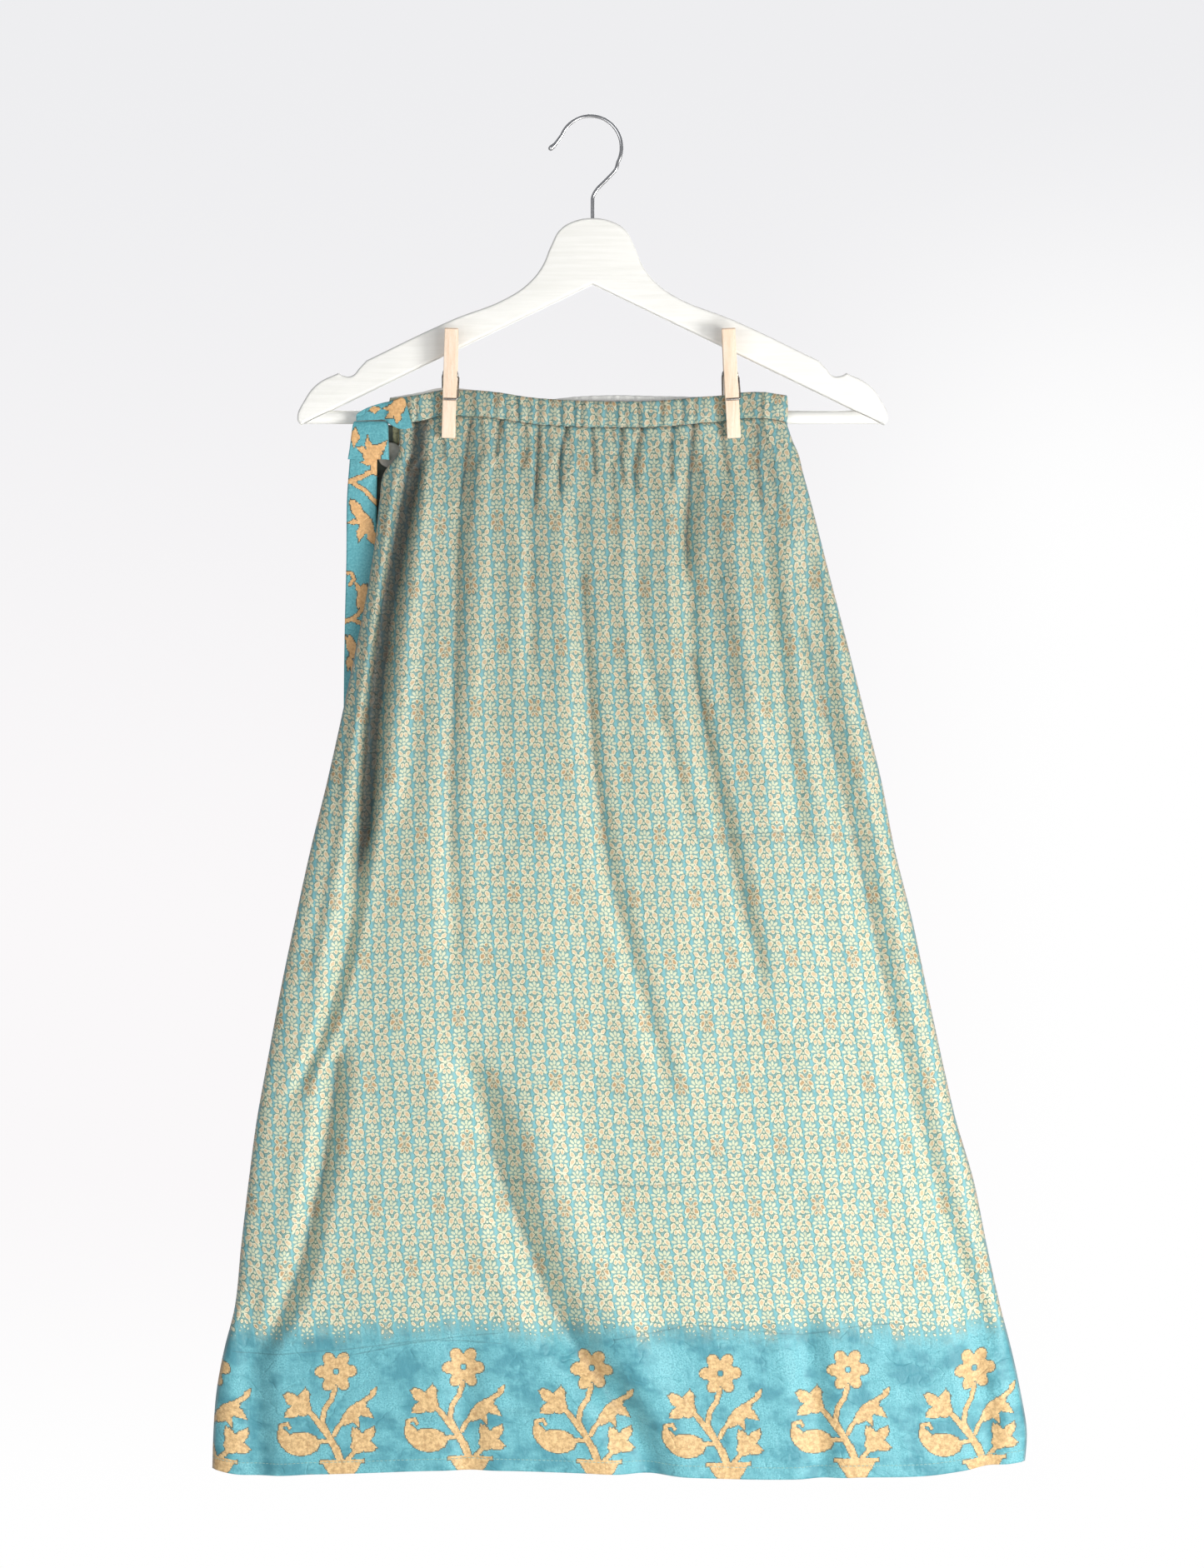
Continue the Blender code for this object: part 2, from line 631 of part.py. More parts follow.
def make_peg(name, peg_x, turn, wood, steel):
    outline = peg_outline()
    data = bpy.data.curves.new("peg_half", "CURVE")
    data.dimensions = "2D"
    data.fill_mode = "BOTH"
    data.extrude = PEG_WIDTH / 2 * MM
    data.materials.append(wood)
    spline = data.splines.new("POLY")
    spline.points.add(len(outline) - 1)
    spline.use_cyclic_u = True
    for knot, (out, down) in zip(spline.points, outline):
        knot.co = (out * MM, (PEG_NOTCH - down) * MM, 0.0, 1.0)
    frames = {}
    for part, side in (("front", -1), ("back", 1)):
        frames[part] = peg_frame(side, peg_x, turn)
        half = bpy.data.objects.new(f"peg_{name}_{part}", data)
        half.matrix_world = frames[part]
        garment.objects.link(half)
    make_spring(name, peg_x, turn, frames, steel)


def make_spring(name, peg_x, turn, frames, steel):
    """The spring: a coil between the halves, and a leg past each side that ends across a groove."""
    pivot = Matrix.Translation(Vector((peg_x, 0, -BAR_DROP)) * MM) @ Matrix.Rotation(turn, 4, "Y")
    beside = PEG_WIDTH / 2 + SEAM + PEG_WIRE
    seated = PEG_THICKNESS - PEG_GROOVE_DEPTH + SEAM + PEG_WIRE
    in_peg = pivot.inverted()
    front, back = (
        in_peg @ frame @ (Vector((seated, PEG_NOTCH - PEG_GROOVE, 0)) * MM) / MM for frame in frames.values()
    )
    seats = [
        in_peg @ frame @ (Vector((-PEG_COIL_OUT, PEG_NOTCH - PEG_COIL, 0)) * MM) for frame in frames.values()
    ]
    centre = (seats[0] + seats[1]) / 2 / MM
    reach = PEG_WIDTH / 2 - 0.8
    points = [
        (-reach, front.y, front.z),
        (beside - 1.2, front.y, front.z),
        (beside, front.y + 0.6, front.z + 1.4),
    ]
    start = math.atan2(front.z - centre.z, front.y - centre.y)
    count = COIL_TURNS * 8
    for step in range(count + 1):
        angle = start + math.radians(60) - 2 * math.pi * step / 8
        x = beside - 2 * beside * step / count
        points.append((x, centre.y + COIL_RADIUS * math.cos(angle), centre.z + COIL_RADIUS * math.sin(angle)))
    points += [
        (-beside, back.y - 1.0, back.z + 1.2),
        (-beside + 1.2, back.y, back.z),
        (reach, back.y, back.z),
    ]
    made = wire(f"peg_{name}_spring", points, PEG_WIRE, steel)
    made.matrix_world = pivot


clear_scene()
garment = bpy.data.collections.new("skirt_on_hanger")
bpy.context.scene.collection.children.link(garment)

print_cloth = material("printed_satin", (0.42, 0.55, 0.45), 0.38)
border_cloth = material("teal_border_satin", (0.10, 0.42, 0.46), 0.38)
shade_cloth = material("tie_inside", (0.02, 0.05, 0.05), 0.6)
white_paint = material("white_painted_wood", (0.90, 0.90, 0.88), 0.45)
pale_wood = material("pale_wood", (0.90, 0.74, 0.56), 0.6)
chrome = material("polished_steel", (0.75, 0.75, 0.77), 0.18, 1.0)
spring_steel = material("spring_steel", (0.45, 0.43, 0.42), 0.35, 1.0)
grey_plastic = material("grey_plastic", (0.12, 0.11, 0.10), 0.4)

make_panel("skirt_front", -1, FRONT_DROPS, FRONT_FOLDS, print_cloth)
make_panel("skirt_back", 1, BACK_DROPS, BACK_FOLDS, print_cloth)
make_casing("waistband_front", -1, print_cloth)
make_casing("waistband_back", 1, print_cloth)
make_tie_wrap(border_cloth)
make_tie_fold(border_cloth)
make_strip("tie_tail", TIE_TAIL, border_cloth)
make_strip("tie_under", TIE_UNDER, shade_cloth)
make_button(grey_plastic)
make_hanger_body(white_paint)
make_hanger_bar(white_paint)
make_hook(chrome)
for peg_name, peg_across, peg_turn in PEGS:
    make_peg(peg_name, peg_across, peg_turn, pale_wood, spring_steel)
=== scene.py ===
"""A gathered A-line skirt of printed satin with a waist tie, pegged on a white wooden clothes hanger.

Tables and shapes are in millimetres: across runs to the viewer's right, a drop is a distance below the
inside of the hook's crest, and the garment faces -Y.
"""

import math

import bmesh
import bpy
import numpy as np
from mathutils import Matrix, Vector


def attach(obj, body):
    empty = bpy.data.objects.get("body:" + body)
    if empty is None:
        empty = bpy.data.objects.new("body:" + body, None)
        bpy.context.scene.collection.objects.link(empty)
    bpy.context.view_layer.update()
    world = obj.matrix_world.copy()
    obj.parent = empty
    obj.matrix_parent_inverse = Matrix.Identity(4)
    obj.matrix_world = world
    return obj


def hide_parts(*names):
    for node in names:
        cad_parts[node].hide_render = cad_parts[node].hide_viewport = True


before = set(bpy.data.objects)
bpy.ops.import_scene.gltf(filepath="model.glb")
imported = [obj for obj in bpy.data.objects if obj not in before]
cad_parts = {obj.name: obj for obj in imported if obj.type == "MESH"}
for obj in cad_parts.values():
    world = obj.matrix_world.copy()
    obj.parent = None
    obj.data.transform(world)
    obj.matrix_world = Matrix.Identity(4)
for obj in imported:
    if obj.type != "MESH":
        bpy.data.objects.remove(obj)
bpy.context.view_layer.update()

# Studio: the camera stands straight in front of the garment, as in the photograph. A large soft light
# from the front right shapes the folds, a weaker one fills from the left, and all around is near white.
MM = 0.001
MM_PER_PIXEL = 0.616
PHOTO_PIXELS_HIGH = 1882
VIEW_ACROSS, VIEW_DROP = 9.55, 495.5
VIEW_PLANE = -16.0
CAMERA_DISTANCE = 2600.0
SENSOR = 24.0

camera_data = bpy.data.cameras.new("camera")
camera_data.sensor_fit = "VERTICAL"
camera_data.sensor_height = SENSOR
camera_data.lens = SENSOR * CAMERA_DISTANCE / (PHOTO_PIXELS_HIGH * MM_PER_PIXEL)
camera = bpy.data.objects.new("camera", camera_data)
camera.location = Vector((VIEW_ACROSS, VIEW_PLANE - CAMERA_DISTANCE, -VIEW_DROP)) * MM
camera.rotation_euler = (math.pi / 2, 0, 0)
bpy.context.scene.collection.objects.link(camera)
bpy.context.scene.camera = camera
bpy.context.scene.view_settings.view_transform = "Standard"


def soft_light(name, place, aim, size, watts, tint=(1.0, 1.0, 1.0)):
    """A square area light at a place in metres, turned to face another place."""
    data = bpy.data.lights.new(name, "AREA")
    data.size = size
    data.energy = watts
    data.color = tint
    lamp = bpy.data.objects.new(name, data)
    lamp.location = place
    lamp.rotation_euler = (Vector(aim) - Vector(place)).to_track_quat("-Z", "Y").to_euler()
    bpy.context.scene.collection.objects.link(lamp)


soft_light("key_light", (2.1, -1.7, -0.85), (0.05, 0.0, -0.8), 0.8, 51.0, (1.0, 0.985, 0.955))
soft_light("low_light", (0.85, -1.5, -1.4), (0.14, 0.0, -0.9), 0.8, 17.0, (1.0, 0.99, 0.97))
soft_light("fill_light", (-1.6, -2.8, -0.7), (0.0, 0.0, -0.6), 1.8, 26.0, (0.97, 0.985, 1.0))
soft_light("back_light", (0.4, 2.4, 0.5), (0.0, 0.0, -0.5), 2.0, 40.0)


class Value:
    """A shader's socket. Arithmetic on it adds the Math node that works it out."""

    def __init__(self, tree, socket):
        self.tree = tree
        self.socket = socket

    def node(self, kind, settings=None, inputs=None, output=0):
        """Adds a node: its settings first, then the values or links of its sockets."""
        made = self.tree.nodes.new(kind)
        for key, value in (settings or {}).items():
            setattr(made, key, value)
        for key, value in (inputs or {}).items():
            if isinstance(value, Value):
                self.tree.links.new(value.socket, made.inputs[key])
            else:
                made.inputs[key].default_value = value
        return Value(self.tree, made.outputs[output])

    def math(self, operation, *others):
        return self.node("ShaderNodeMath", {"operation": operation}, dict(enumerate((self, *others))))

    def vector(self, operation, *others, output=0):
        return self.node(
            "ShaderNodeVectorMath", {"operation": operation}, dict(enumerate((self, *others))), output
        )

    def parts(self):
        split = self.node("ShaderNodeSeparateXYZ", inputs={0: self})
        outputs = split.socket.node.outputs
        return [Value(self.tree, outputs[axis]) for axis in range(3)]

    def mix(self, low, high):
        """The colour low where this is 0, and high where it is 1."""
        return self.node("ShaderNodeMix", {"data_type": "RGBA"}, {0: self, 6: low, 7: high}, 2)

    def between(self, low, high):
        """0 below low, 1 above high, and a soft step between."""
        return self.node(
            "ShaderNodeMapRange", {"interpolation_type": "SMOOTHSTEP"}, {0: self, 1: low, 2: high}
        )

    def __add__(self, other):
        return self.math("ADD", other)

    def __sub__(self, other):
        return self.math("SUBTRACT", other)

    def __rsub__(self, other):
        return self.node("ShaderNodeMath", {"operation": "SUBTRACT"}, {0: other, 1: self})

    def __mul__(self, other):
        return self.math("MULTIPLY", other)

    def __truediv__(self, other):
        return self.math("DIVIDE", other)

    def __lt__(self, other):
        return self.math("LESS_THAN", other)

    def __abs__(self):
        return self.math("ABSOLUTE")

    __radd__ = __add__
    __rmul__ = __mul__


def srgb(red, green, blue):
    """A linear colour from 8-bit values: c/12.92 below 0.04045, else ((c + 0.055) / 1.055) ^ 2.4."""
    parts = [value / 255 for value in (red, green, blue)]
    return (*(c / 12.92 if c <= 0.04045 else ((c + 0.055) / 1.055) ** 2.4 for c in parts), 1.0)


world = bpy.data.worlds.new("studio")
world.use_nodes = True
bpy.context.scene.world = world
surround = world.node_tree.nodes["Background"]
world_start = Value(world.node_tree, surround.outputs[0])
sideways, _, upward = world_start.node("ShaderNodeTexCoord", output=0).parts()
seen = world_start.node("ShaderNodeLightPath", output=0)
# painted light on the camera's backdrop: pure white to the right and low down, greying a little towards the
# top
backdrop = upward.between(-0.05, 0.22).mix(srgb(250, 248, 249), srgb(238, 238, 240))
backdrop_light_pool = sideways.between(0.03, 0.14).math("MAXIMUM", (upward * -1.0).between(0.1, 0.21))
backdrop = (backdrop_light_pool * (upward.between(0.06, 0.2) * -1.0 + 1.0)).mix(backdrop, srgb(255, 255, 255))
around = upward.between(-0.9, 0.6).mix(srgb(150, 149, 147), srgb(146, 148, 151))
world.node_tree.links.new(seen.mix(around, backdrop).socket, surround.inputs["Color"])

FLOOR_DROP, FLOOR_HALF = 1620.0, 1500.0


def principled(name, roughness, **constants):
    """A material, the start of its values, and a function that links values to its shader."""
    look = bpy.data.materials.new(name)
    look.use_nodes = True
    shader = look.node_tree.nodes["Principled BSDF"]
    shader.inputs["Roughness"].default_value = roughness
    for key, value in constants.items():
        shader.inputs[key.replace("_", " ")].default_value = value

    def finish_with(**values):
        for key, value in values.items():
            look.node_tree.links.new(value.socket, shader.inputs[key.replace("_", " ")])

    return look, Value(look.node_tree, shader.outputs[0]), finish_with


def bumped(height, depth, strength=1.0):
    """The normal of a surface raised by a height from 0 to 1, at a depth in millimetres."""
    inputs = {"Height": height, "Distance": depth * MM, "Strength": strength}
    return height.node("ShaderNodeBump", inputs=inputs)


def object_space(start, stretch=(1.0, 1.0, 1.0)):
    """Object coordinates in millimetres, stretched along each axis."""
    place = start.node("ShaderNodeTexCoord", output=3)
    return place.vector("MULTIPLY", tuple(value / MM for value in stretch))


def noise(place, scale, detail=2.0, roughness=0.5, output=0):
    return place.node(
        "ShaderNodeTexNoise",
        inputs={"Vector": place, "Scale": scale, "Detail": detail, "Roughness": roughness},
        output=output,
    )


def surface(name, points, faces, looks, cloth=None, which=None):
    """A smooth mesh object from points in millimetres. cloth holds each point's place in the flat cloth and
    how much painted crease shade it takes, and which the number of each face's look."""
    mesh = bpy.data.meshes.new(name)
    mesh.from_pydata((np.asarray(points, float) * MM).tolist(), [], [list(map(int, face)) for face in faces])
    if cloth is not None:
        stored = mesh.attributes.new("cloth", "FLOAT_VECTOR", "POINT")
        stored.data.foreach_set("vector", np.asarray(cloth, np.float32).ravel())
    for look in looks:
        mesh.materials.append(look)
    if which is not None:
        mesh.polygons.foreach_set("material_index", np.asarray(which, np.int32))
    mesh.polygons.foreach_set("use_smooth", [True] * len(mesh.polygons))
    made = bpy.data.objects.new(name, mesh)
    bpy.context.scene.collection.objects.link(made)
    return made


floor_look, floor_start, floor_finish = principled("pale_floor", 0.8)
floor_tone = noise(object_space(floor_start), 0.004).mix(srgb(236, 235, 233), srgb(242, 241, 240))
floor_finish(Base_Color=floor_tone)
floor_corners = [(x, y, -FLOOR_DROP) for x, y in ((-1, -1), (1, -1), (1, 1), (-1, 1))]
floor = surface(
    "floor",
    [(x * FLOOR_HALF, y * FLOOR_HALF, z) for x, y, z in floor_corners],
    [(0, 1, 2, 3)],
    [floor_look],
)

# Printed satin: the cloth of the panels and the waistband, a teal satin with crosses of petals, fans and
# florets in close columns, and a plain teal border with potted flowers above the hem. Each point of the
# cloth pieces stores its place in the flat cloth, and how much painted shade it takes for lying in a narrow
# crease.
PRINT_COLUMN = 11.875
PRINT_REPEAT = 22.9
PRINT_START = 103.0
BORDER_REPEAT = 95.0
BORDER_FLOWER_ACROSS = 12.2
BORDER_UPRIGHT = 0.128  # how far the motif stands back against the print's lean, for each mm of height
BORDER_FLOWER_HEIGHT = 76.0
STEP = 0.8  # the motifs' outlines are stepped, as woven ones are
OUTLINE_WIDTH = 0.6
# painted shade: up to GATHERED_SHADE darker towards the waist between these heights above the hem, and up to
# CREASE_SHADE darker in narrow creases
GATHERED_SHADE, GATHERED_FROM, GATHERED_TO = 0.26, 380.0, 800.0
CREASE_SHADE = 0.66
PRINT_WANDER = 1.6
RAGGED_COLUMN, RAGGED_CLOTH = 9.0, 16.0
PRINT_ENDS, PRINT_WHOLE = -15.0, 9.0
PRINT_SETTLES = (
    # across from, across to, how far the print lies lower past it
    (60.0, 160.0, -4.0),
    (215.0, 290.0, 7.0),
)

TEAL = srgb(118, 190, 199)
TEAL_DEEP = srgb(66, 138, 152)
STRIPE = srgb(116, 176, 183)
PRINT_GROUND = srgb(120, 162, 162)
PRINT_LINE = srgb(94, 126, 110)
CREAM = srgb(212, 209, 184)
GOLD = srgb(206, 182, 146)
FLORET = srgb(203, 208, 180)
ACCENT = srgb(182, 150, 108)
MOTIF_LINE = srgb(96, 104, 92)
# painted shade for the thin pressed creases
PRESSED_CREASE_SHADE = srgb(66, 112, 116)


def placed(point, across, up, turn=0.0, long=1.0, wide=1.0):
    """The point as seen from an oval: moved to its middle, turned back, divided by its half sizes."""
    return point.node(
        "ShaderNodeMapping",
        {"vector_type": "TEXTURE"},
        {
            "Vector": point,
            "Location": (across, up, 0),
            "Rotation": (0, 0, math.radians(turn)),
            "Scale": (long, wide, 1),
        },
    )


def oval(point, across, up, turn, long, wide):
    """Rough distance to an oval's edge: (length of the point over the half sizes, minus 1) x half width."""
    return (placed(point, across, up, turn, long, wide).vector("LENGTH", output=1) - 1.0) * wide


def kite(point, across, up, turn, long, wide):
    """Rough distance to a rhombus: (|x| + |y| over the half sizes, minus 1) x half width."""
    x, y, _ = placed(point, across, up, turn, long, wide).parts()
    return (abs(x) + abs(y) - 1.0) * wide


def stroke(point, start, end, width):
    """Distance to a straight stroke with round ends: the length of max(|p| - half its length, 0), less half
    the width."""
    (x0, y0), (x1, y1) = start, end
    half = math.hypot(x1 - x0, y1 - y0) / 2
    turned = placed(point, (x0 + x1) / 2, (y0 + y1) / 2, math.degrees(math.atan2(y1 - y0, x1 - x0)))
    outside = turned.vector("ABSOLUTE").vector("SUBTRACT", (half, 0, 0)).vector("MAXIMUM", (0, 0, 0))
    return outside.vector("LENGTH", output=1) - width / 2


def union(shapes):
    """The least of several distances."""
    joined = shapes[0]
    for shape in shapes[1:]:
        joined = joined.math("MINIMUM", shape)
    return joined


def petals(point, count, reach, long, wide):
    """Rough distance to ovals set evenly round the point's origin: the angle is rounded to the nearest
    petal's, the point is turned back by it, and one oval is measured there."""
    x, y, _ = point.parts()
    step = 2 * math.pi / count
    nearest = (y.math("ARCTAN2", x) / step).math("ROUND") * step
    turned = point.node(
        "ShaderNodeVectorRotate",
        {"rotation_type": "Z_AXIS"},
        {"Vector": point, "Angle": nearest * -1.0},
    )
    return oval(turned, reach, 0.0, 0.0, long, wide)


def joined_xy(x, y):
    return x.node("ShaderNodeCombineXYZ", inputs={0: x, 1: y})


def stepped(point):
    """The point moved to the middle of its square of STEP, so that a shape's edge has small teeth."""
    return point.vector("SNAP", (STEP, STEP, 1.0)).vector("ADD", (STEP / 2, STEP / 2, 0.0))


PRINT_GILT = (
    # across from the column's middle, up, turn, half length, half width: petals in two pairs, a fan and a bud
    (3.05, 17.5, 50, 2.5, 1.65),
    (3.15, 12.4, -54, 2.9, 1.9),
    (1.6, 8.2, -68, 2.1, 1.4),
    (0.0, 21.2, 90, 1.75, 1.7),
)
PRINT_PALE = (
    # the same: the middle of the cross, the fan's sides, and the florets
    (0.0, 15.4, 0, 1.4, 1.1),
    (4.4, 9.0, -50, 1.8, 0.95),
    (0.0, 11.6, 0, 0.9, 0.8),
    (0.0, 4.7, 90, 1.8, 1.0),
    (2.5, 3.7, 46, 1.9, 1.0),
    (3.8, 1.1, 6, 1.7, 1.0),
    (0.0, 1.3, 0, 1.3, 1.1),
    (3.2, 21.2, -30, 1.7, 0.9),
)


def small_print(across, height, ground, thinned):
    """Colour of the field over a ground, its petals and florets set by the two tables in each column and
    turned over on its other side. They shrink away where thinned nears 1."""
    column = (across / PRINT_COLUMN).math("FLOOR")
    shift = column.math("FLOORED_MODULO", 2.0) * (PRINT_REPEAT / 2)
    row = ((height + shift) / PRINT_REPEAT).math("FLOOR")
    place = joined_xy(across, height)
    wander = noise(place, 0.16, 1.0, output=1).vector("SUBTRACT", (0.5, 0.5, 0.5)).parts()
    x = abs(across.math("FLOORED_MODULO", PRINT_COLUMN) - PRINT_COLUMN / 2 + wander[0] * PRINT_WANDER)
    y = (height + shift).math("FLOORED_MODULO", PRINT_REPEAT) + wander[1] * PRINT_WANDER
    point = joined_xy(x, y)
    uneven = (noise(place, 0.6, 1.0) - 0.5) * 0.8 + thinned * 1.5
    gilt = union([placed(point, *petal).vector("LENGTH", output=1) for petal in PRINT_GILT]) + uneven
    pale = union([placed(point, *petal).vector("LENGTH", output=1) for petal in PRINT_PALE]) + uneven
    every = (column + (row / 2.0).math("FLOOR") * 2.0).math("FLOORED_MODULO", 4.0)
    accented = (every < 0.5) * (row.math("FLOORED_MODULO", 2.0) < 0.5)
    lined = (gilt < 1.26).math("MAXIMUM", (pale < 1.18) * 0.6)
    colour = (lined * (1.0 - thinned)).mix(ground, PRINT_LINE)
    colour = (pale < 1.0).mix(colour, FLORET)
    colour = (gilt < 1.0).mix(colour, CREAM)
    colour = (gilt < 0.6).mix(colour, accented.mix(GOLD, ACCENT))
    tint = (1.0 - placed(point, 0.0, 12.5, 0.0, 5.5, 8.5).vector("LENGTH", output=1)).between(0.0, 0.6)
    return (accented * tint * (1.0 - thinned) * 0.22).mix(colour, ACCENT)


def leaf(point, across, up, turn, size):
    """Three lobes that spread from a stalk, each an oval with a pointed kite at its tip."""
    lobes = [oval(point, across, up, turn, 0.34 * size, 0.3 * size)]
    for spread, reach in ((-62, 0.8), (0, 1.0), (62, 0.8)):
        angle = math.radians(turn + spread)
        x = across + 0.34 * size * reach * math.cos(angle)
        y = up + 0.34 * size * reach * math.sin(angle)
        lobes.append(oval(point, x, y, turn + spread, 0.45 * size * reach, 0.2 * size))
        x = across + 0.5 * size * reach * math.cos(angle + 0.12)
        y = up + 0.5 * size * reach * math.sin(angle + 0.12)
        lobes.append(kite(point, x, y, turn + spread, 0.38 * size * reach, 0.17 * size))
    return union(lobes)


MOTIF_PATHS = (
    # width, how much wider each next stretch is, places along it from the flower's middle: stem, trunk, arm,
    # the blade's tip, the gourd's curl in two rows and its stalk, and the low leaf's stalk
    (3.4, 0.0, ((-0.5, -12.0), (-3.0, -20.5), (-8.2, -28.0), (-10.0, -37.0), (-6.0, -45.5), (-2.5, -51.0))),
    (3.6, 0.5, ((-20.0, -29.0), (-13.0, -37.0), (-4.5, -49.0), (0.5, -57.0), (4.0, -66.0))),
    (3.0, 0.0, ((-1.0, -47.0), (2.5, -40.5), (8.0, -35.0))),
    (3.2, 0.0, ((19.0, -24.0), (27.0, -18.5))),
    (3.2, -0.8, ((-41.4, -44.0), (-40.6, -38.6), (-36.0, -37.4))),
    (2.0, 0.0, ((-36.0, -37.4), (-34.2, -40.6))),
    (3.0, 0.0, ((-13.0, -51.6), (-4.0, -51.4))),
    (3.0, 0.0, ((18.5, -55.5), (9.0, -66.0))),
)
MOTIF_OVALS = (
    # across, up, turn, half length, half width: the blade, then the gourd and its neck
    (13.5, -31.0, 42, 11.5, 5.0),
    (-25.5, -53.0, -4, 13.5, 8.6),
    (-37.5, -49.5, 118, 9.0, 4.6),
)
MOTIF_KITES = (
    # the same: the blade's point and its two teeth
    (28.0, -16.5, 58, 4.5, 2.4),
    (22.0, -30.5, -38, 8.0, 3.6),
    (15.0, -36.5, -62, 6.0, 2.6),
)
MOTIF_LEAVES = (
    # across, up, turn, size
    (-25.0, -26.0, 140, 20.5),
    (18.0, -54.5, 45, 19.5),
)
POT_MIDDLE, POT_HALF, POT_FLARE = (5.2, -66.0), 15.5, 0.62
RIM_HALF, RIM_HEIGHT = 16.8, 2.2


def potted_flower(across, height):
    """Distance to the border's motif: a six-petalled flower on a bent stem, leaves, a gourd and a pot."""
    upright = (height - BORDER_FLOWER_HEIGHT) * -BORDER_UPRIGHT
    x = (across + upright - BORDER_FLOWER_ACROSS + BORDER_REPEAT / 2).math("FLOORED_MODULO", BORDER_REPEAT)
    point = stepped(joined_xy(x - BORDER_REPEAT / 2, height - BORDER_FLOWER_HEIGHT))
    flower = petals(point, 6, 9.9, 5.5, 4.3).math("MINIMUM", oval(point, 0, 0, 0, 10.4, 9.8))
    flower = flower.math("MAXIMUM", oval(point, 0, 0, 0, 2.5, 2.5) * -1.0)
    shapes = [flower]
    for width, more, places in MOTIF_PATHS:
        shapes += [stroke(point, a, b, width + more * i) for i, (a, b) in enumerate(zip(places, places[1:]))]
    shapes += [oval(point, *shape) for shape in MOTIF_OVALS]
    shapes += [kite(point, *shape) for shape in MOTIF_KITES]
    shapes += [leaf(point, *shape) for shape in MOTIF_LEAVES]
    pot_x, pot_y, _ = placed(point, *POT_MIDDLE).parts()
    shapes.append((abs(pot_x) - POT_HALF - pot_y * POT_FLARE).math("MAXIMUM", pot_y))
    shapes.append((abs(pot_x) - RIM_HALF).math("MAXIMUM", abs(pot_y + 0.9) - RIM_HEIGHT / 2))
    return union(shapes) + (noise(point, 0.35, 1.0) - 0.5) * 1.4


def gilded(distance, ground, point):
    """Gold where the distance is below 0, with a thin dark line round it, over the ground colour."""
    warm = noise(point, 0.3, 4.0, 0.75).between(0.36, 0.64).mix(srgb(186, 150, 102), srgb(226, 192, 138))
    lined = (distance < OUTLINE_WIDTH).mix(ground, MOTIF_LINE)
    return (distance < 0.0).mix(lined, warm)


def satin(name, pattern):
    """Satin with a colour pattern worked out on the flat cloth, and its weave and fine wrinkles as bump.
    Painted shade darkens it in the narrow creases, and towards the waist for the shade of the fine gathers
    there."""
    look, start, finish_with = principled(name, 0.46, Sheen_Weight=0.22, Sheen_Roughness=0.45)
    cloth = start.node("ShaderNodeAttribute", {"attribute_name": "cloth"}, output=1)
    across, height, painted_shade = cloth.parts()
    colour = pattern(across, height)
    flat = joined_xy(across, height)
    mottle = noise(flat, 0.95, 3.0, 0.7).between(0.25, 0.75)
    # painted shade: darker towards the waist for the gathers' shade, and darker in narrow creases
    painted_gather_shade = height.between(GATHERED_FROM, GATHERED_TO) * -GATHERED_SHADE + 1.0
    tone = (mottle * 0.13 + noise(flat, 0.035, 2.0) * 0.12 + 0.88) * (painted_shade * -CREASE_SHADE + 1.0) * painted_gather_shade
    shade = colour.vector("MULTIPLY", start.node("ShaderNodeCombineXYZ", inputs={0: tone, 1: tone, 2: tone}))
    weave = noise(flat.vector("MULTIPLY", (1.0, 2.4, 1.0)), 1.3, 2.0, 0.6)
    creases = abs(noise(flat.vector("MULTIPLY", (0.7, 1.0, 1.0)), 0.028, 3.0, 0.55) - 0.5).between(0.0, 0.02)
    wrinkle = noise(flat.vector("MULTIPLY", (1.0, 0.6, 1.0)), 0.075, 4.0, 0.6)
    height_map = weave * 0.10 + creases * 0.16 + wrinkle * 1.2
    finish_with(Base_Color=shade, Normal=bumped(height_map, 1.9, 0.8))
    return look


PRESSED = (
    # thin pressed creases, painted dark as their shade, as places across and up the flat cloth
    ((-254, 89), (-170, 92), (-110, 97), (-52, 94)),
    ((-177, 86), (-120, 95), (-50, 102)),
    ((31, 100), (92, 112), (172, 102), (262, 114)),
    ((-48, 212), (10, 215), (60, 213), (150, 221)),
    ((129, 470), (200, 472), (275, 467)),
    ((60, 262), (100, 250), (132, 226)),
)


def panel_pattern(across, height):
    """The field thins out at a ragged edge, and potted flowers stand on mottled teal below it. Thin pressed
    creases get painted shade as dark lines.
    """
    for start, end, lower in PRINT_SETTLES:
        height = height + across.between(start, end) * lower
    point = joined_xy(across, height)
    column = (across / PRINT_COLUMN).math("FLOOR")
    chance = column.node("ShaderNodeTexWhiteNoise", {"noise_dimensions": "1D"}, {"W": column}, 0)
    ragged = height - chance * RAGGED_COLUMN + noise(point, 0.3, 2.0) * RAGGED_CLOTH - RAGGED_CLOTH / 2
    thinned = 1.0 - ragged.between(PRINT_START + PRINT_ENDS, PRINT_START + PRINT_WHOLE)
    streaked = point.vector("MULTIPLY", (1.0, 1.3, 1.0))
    cloudy = noise(streaked, 0.034, 5.0, 0.62).between(0.38, 0.62) * 0.95
    grainy = noise(point, 0.8, 3.0, 0.8).between(0.38, 0.64) * 0.8
    teal = cloudy.math("MAXIMUM", grainy).mix(TEAL, TEAL_DEEP)
    border = gilded(potted_flower(across, height), teal, point)
    colour = small_print(across, height, thinned.mix(field_ground(across), border), thinned)
    # painted shade: dark lines along the pressed creases
    pressed = union([stroke(point, a, b, 0.7) for line in PRESSED for a, b in zip(line, line[1:])])
    pressed = (pressed + (noise(point, 0.1, 2.0) - 0.5) * 1.6).between(0.35, -0.15)
    return (pressed * 0.42).mix(colour, PRESSED_CREASE_SHADE)


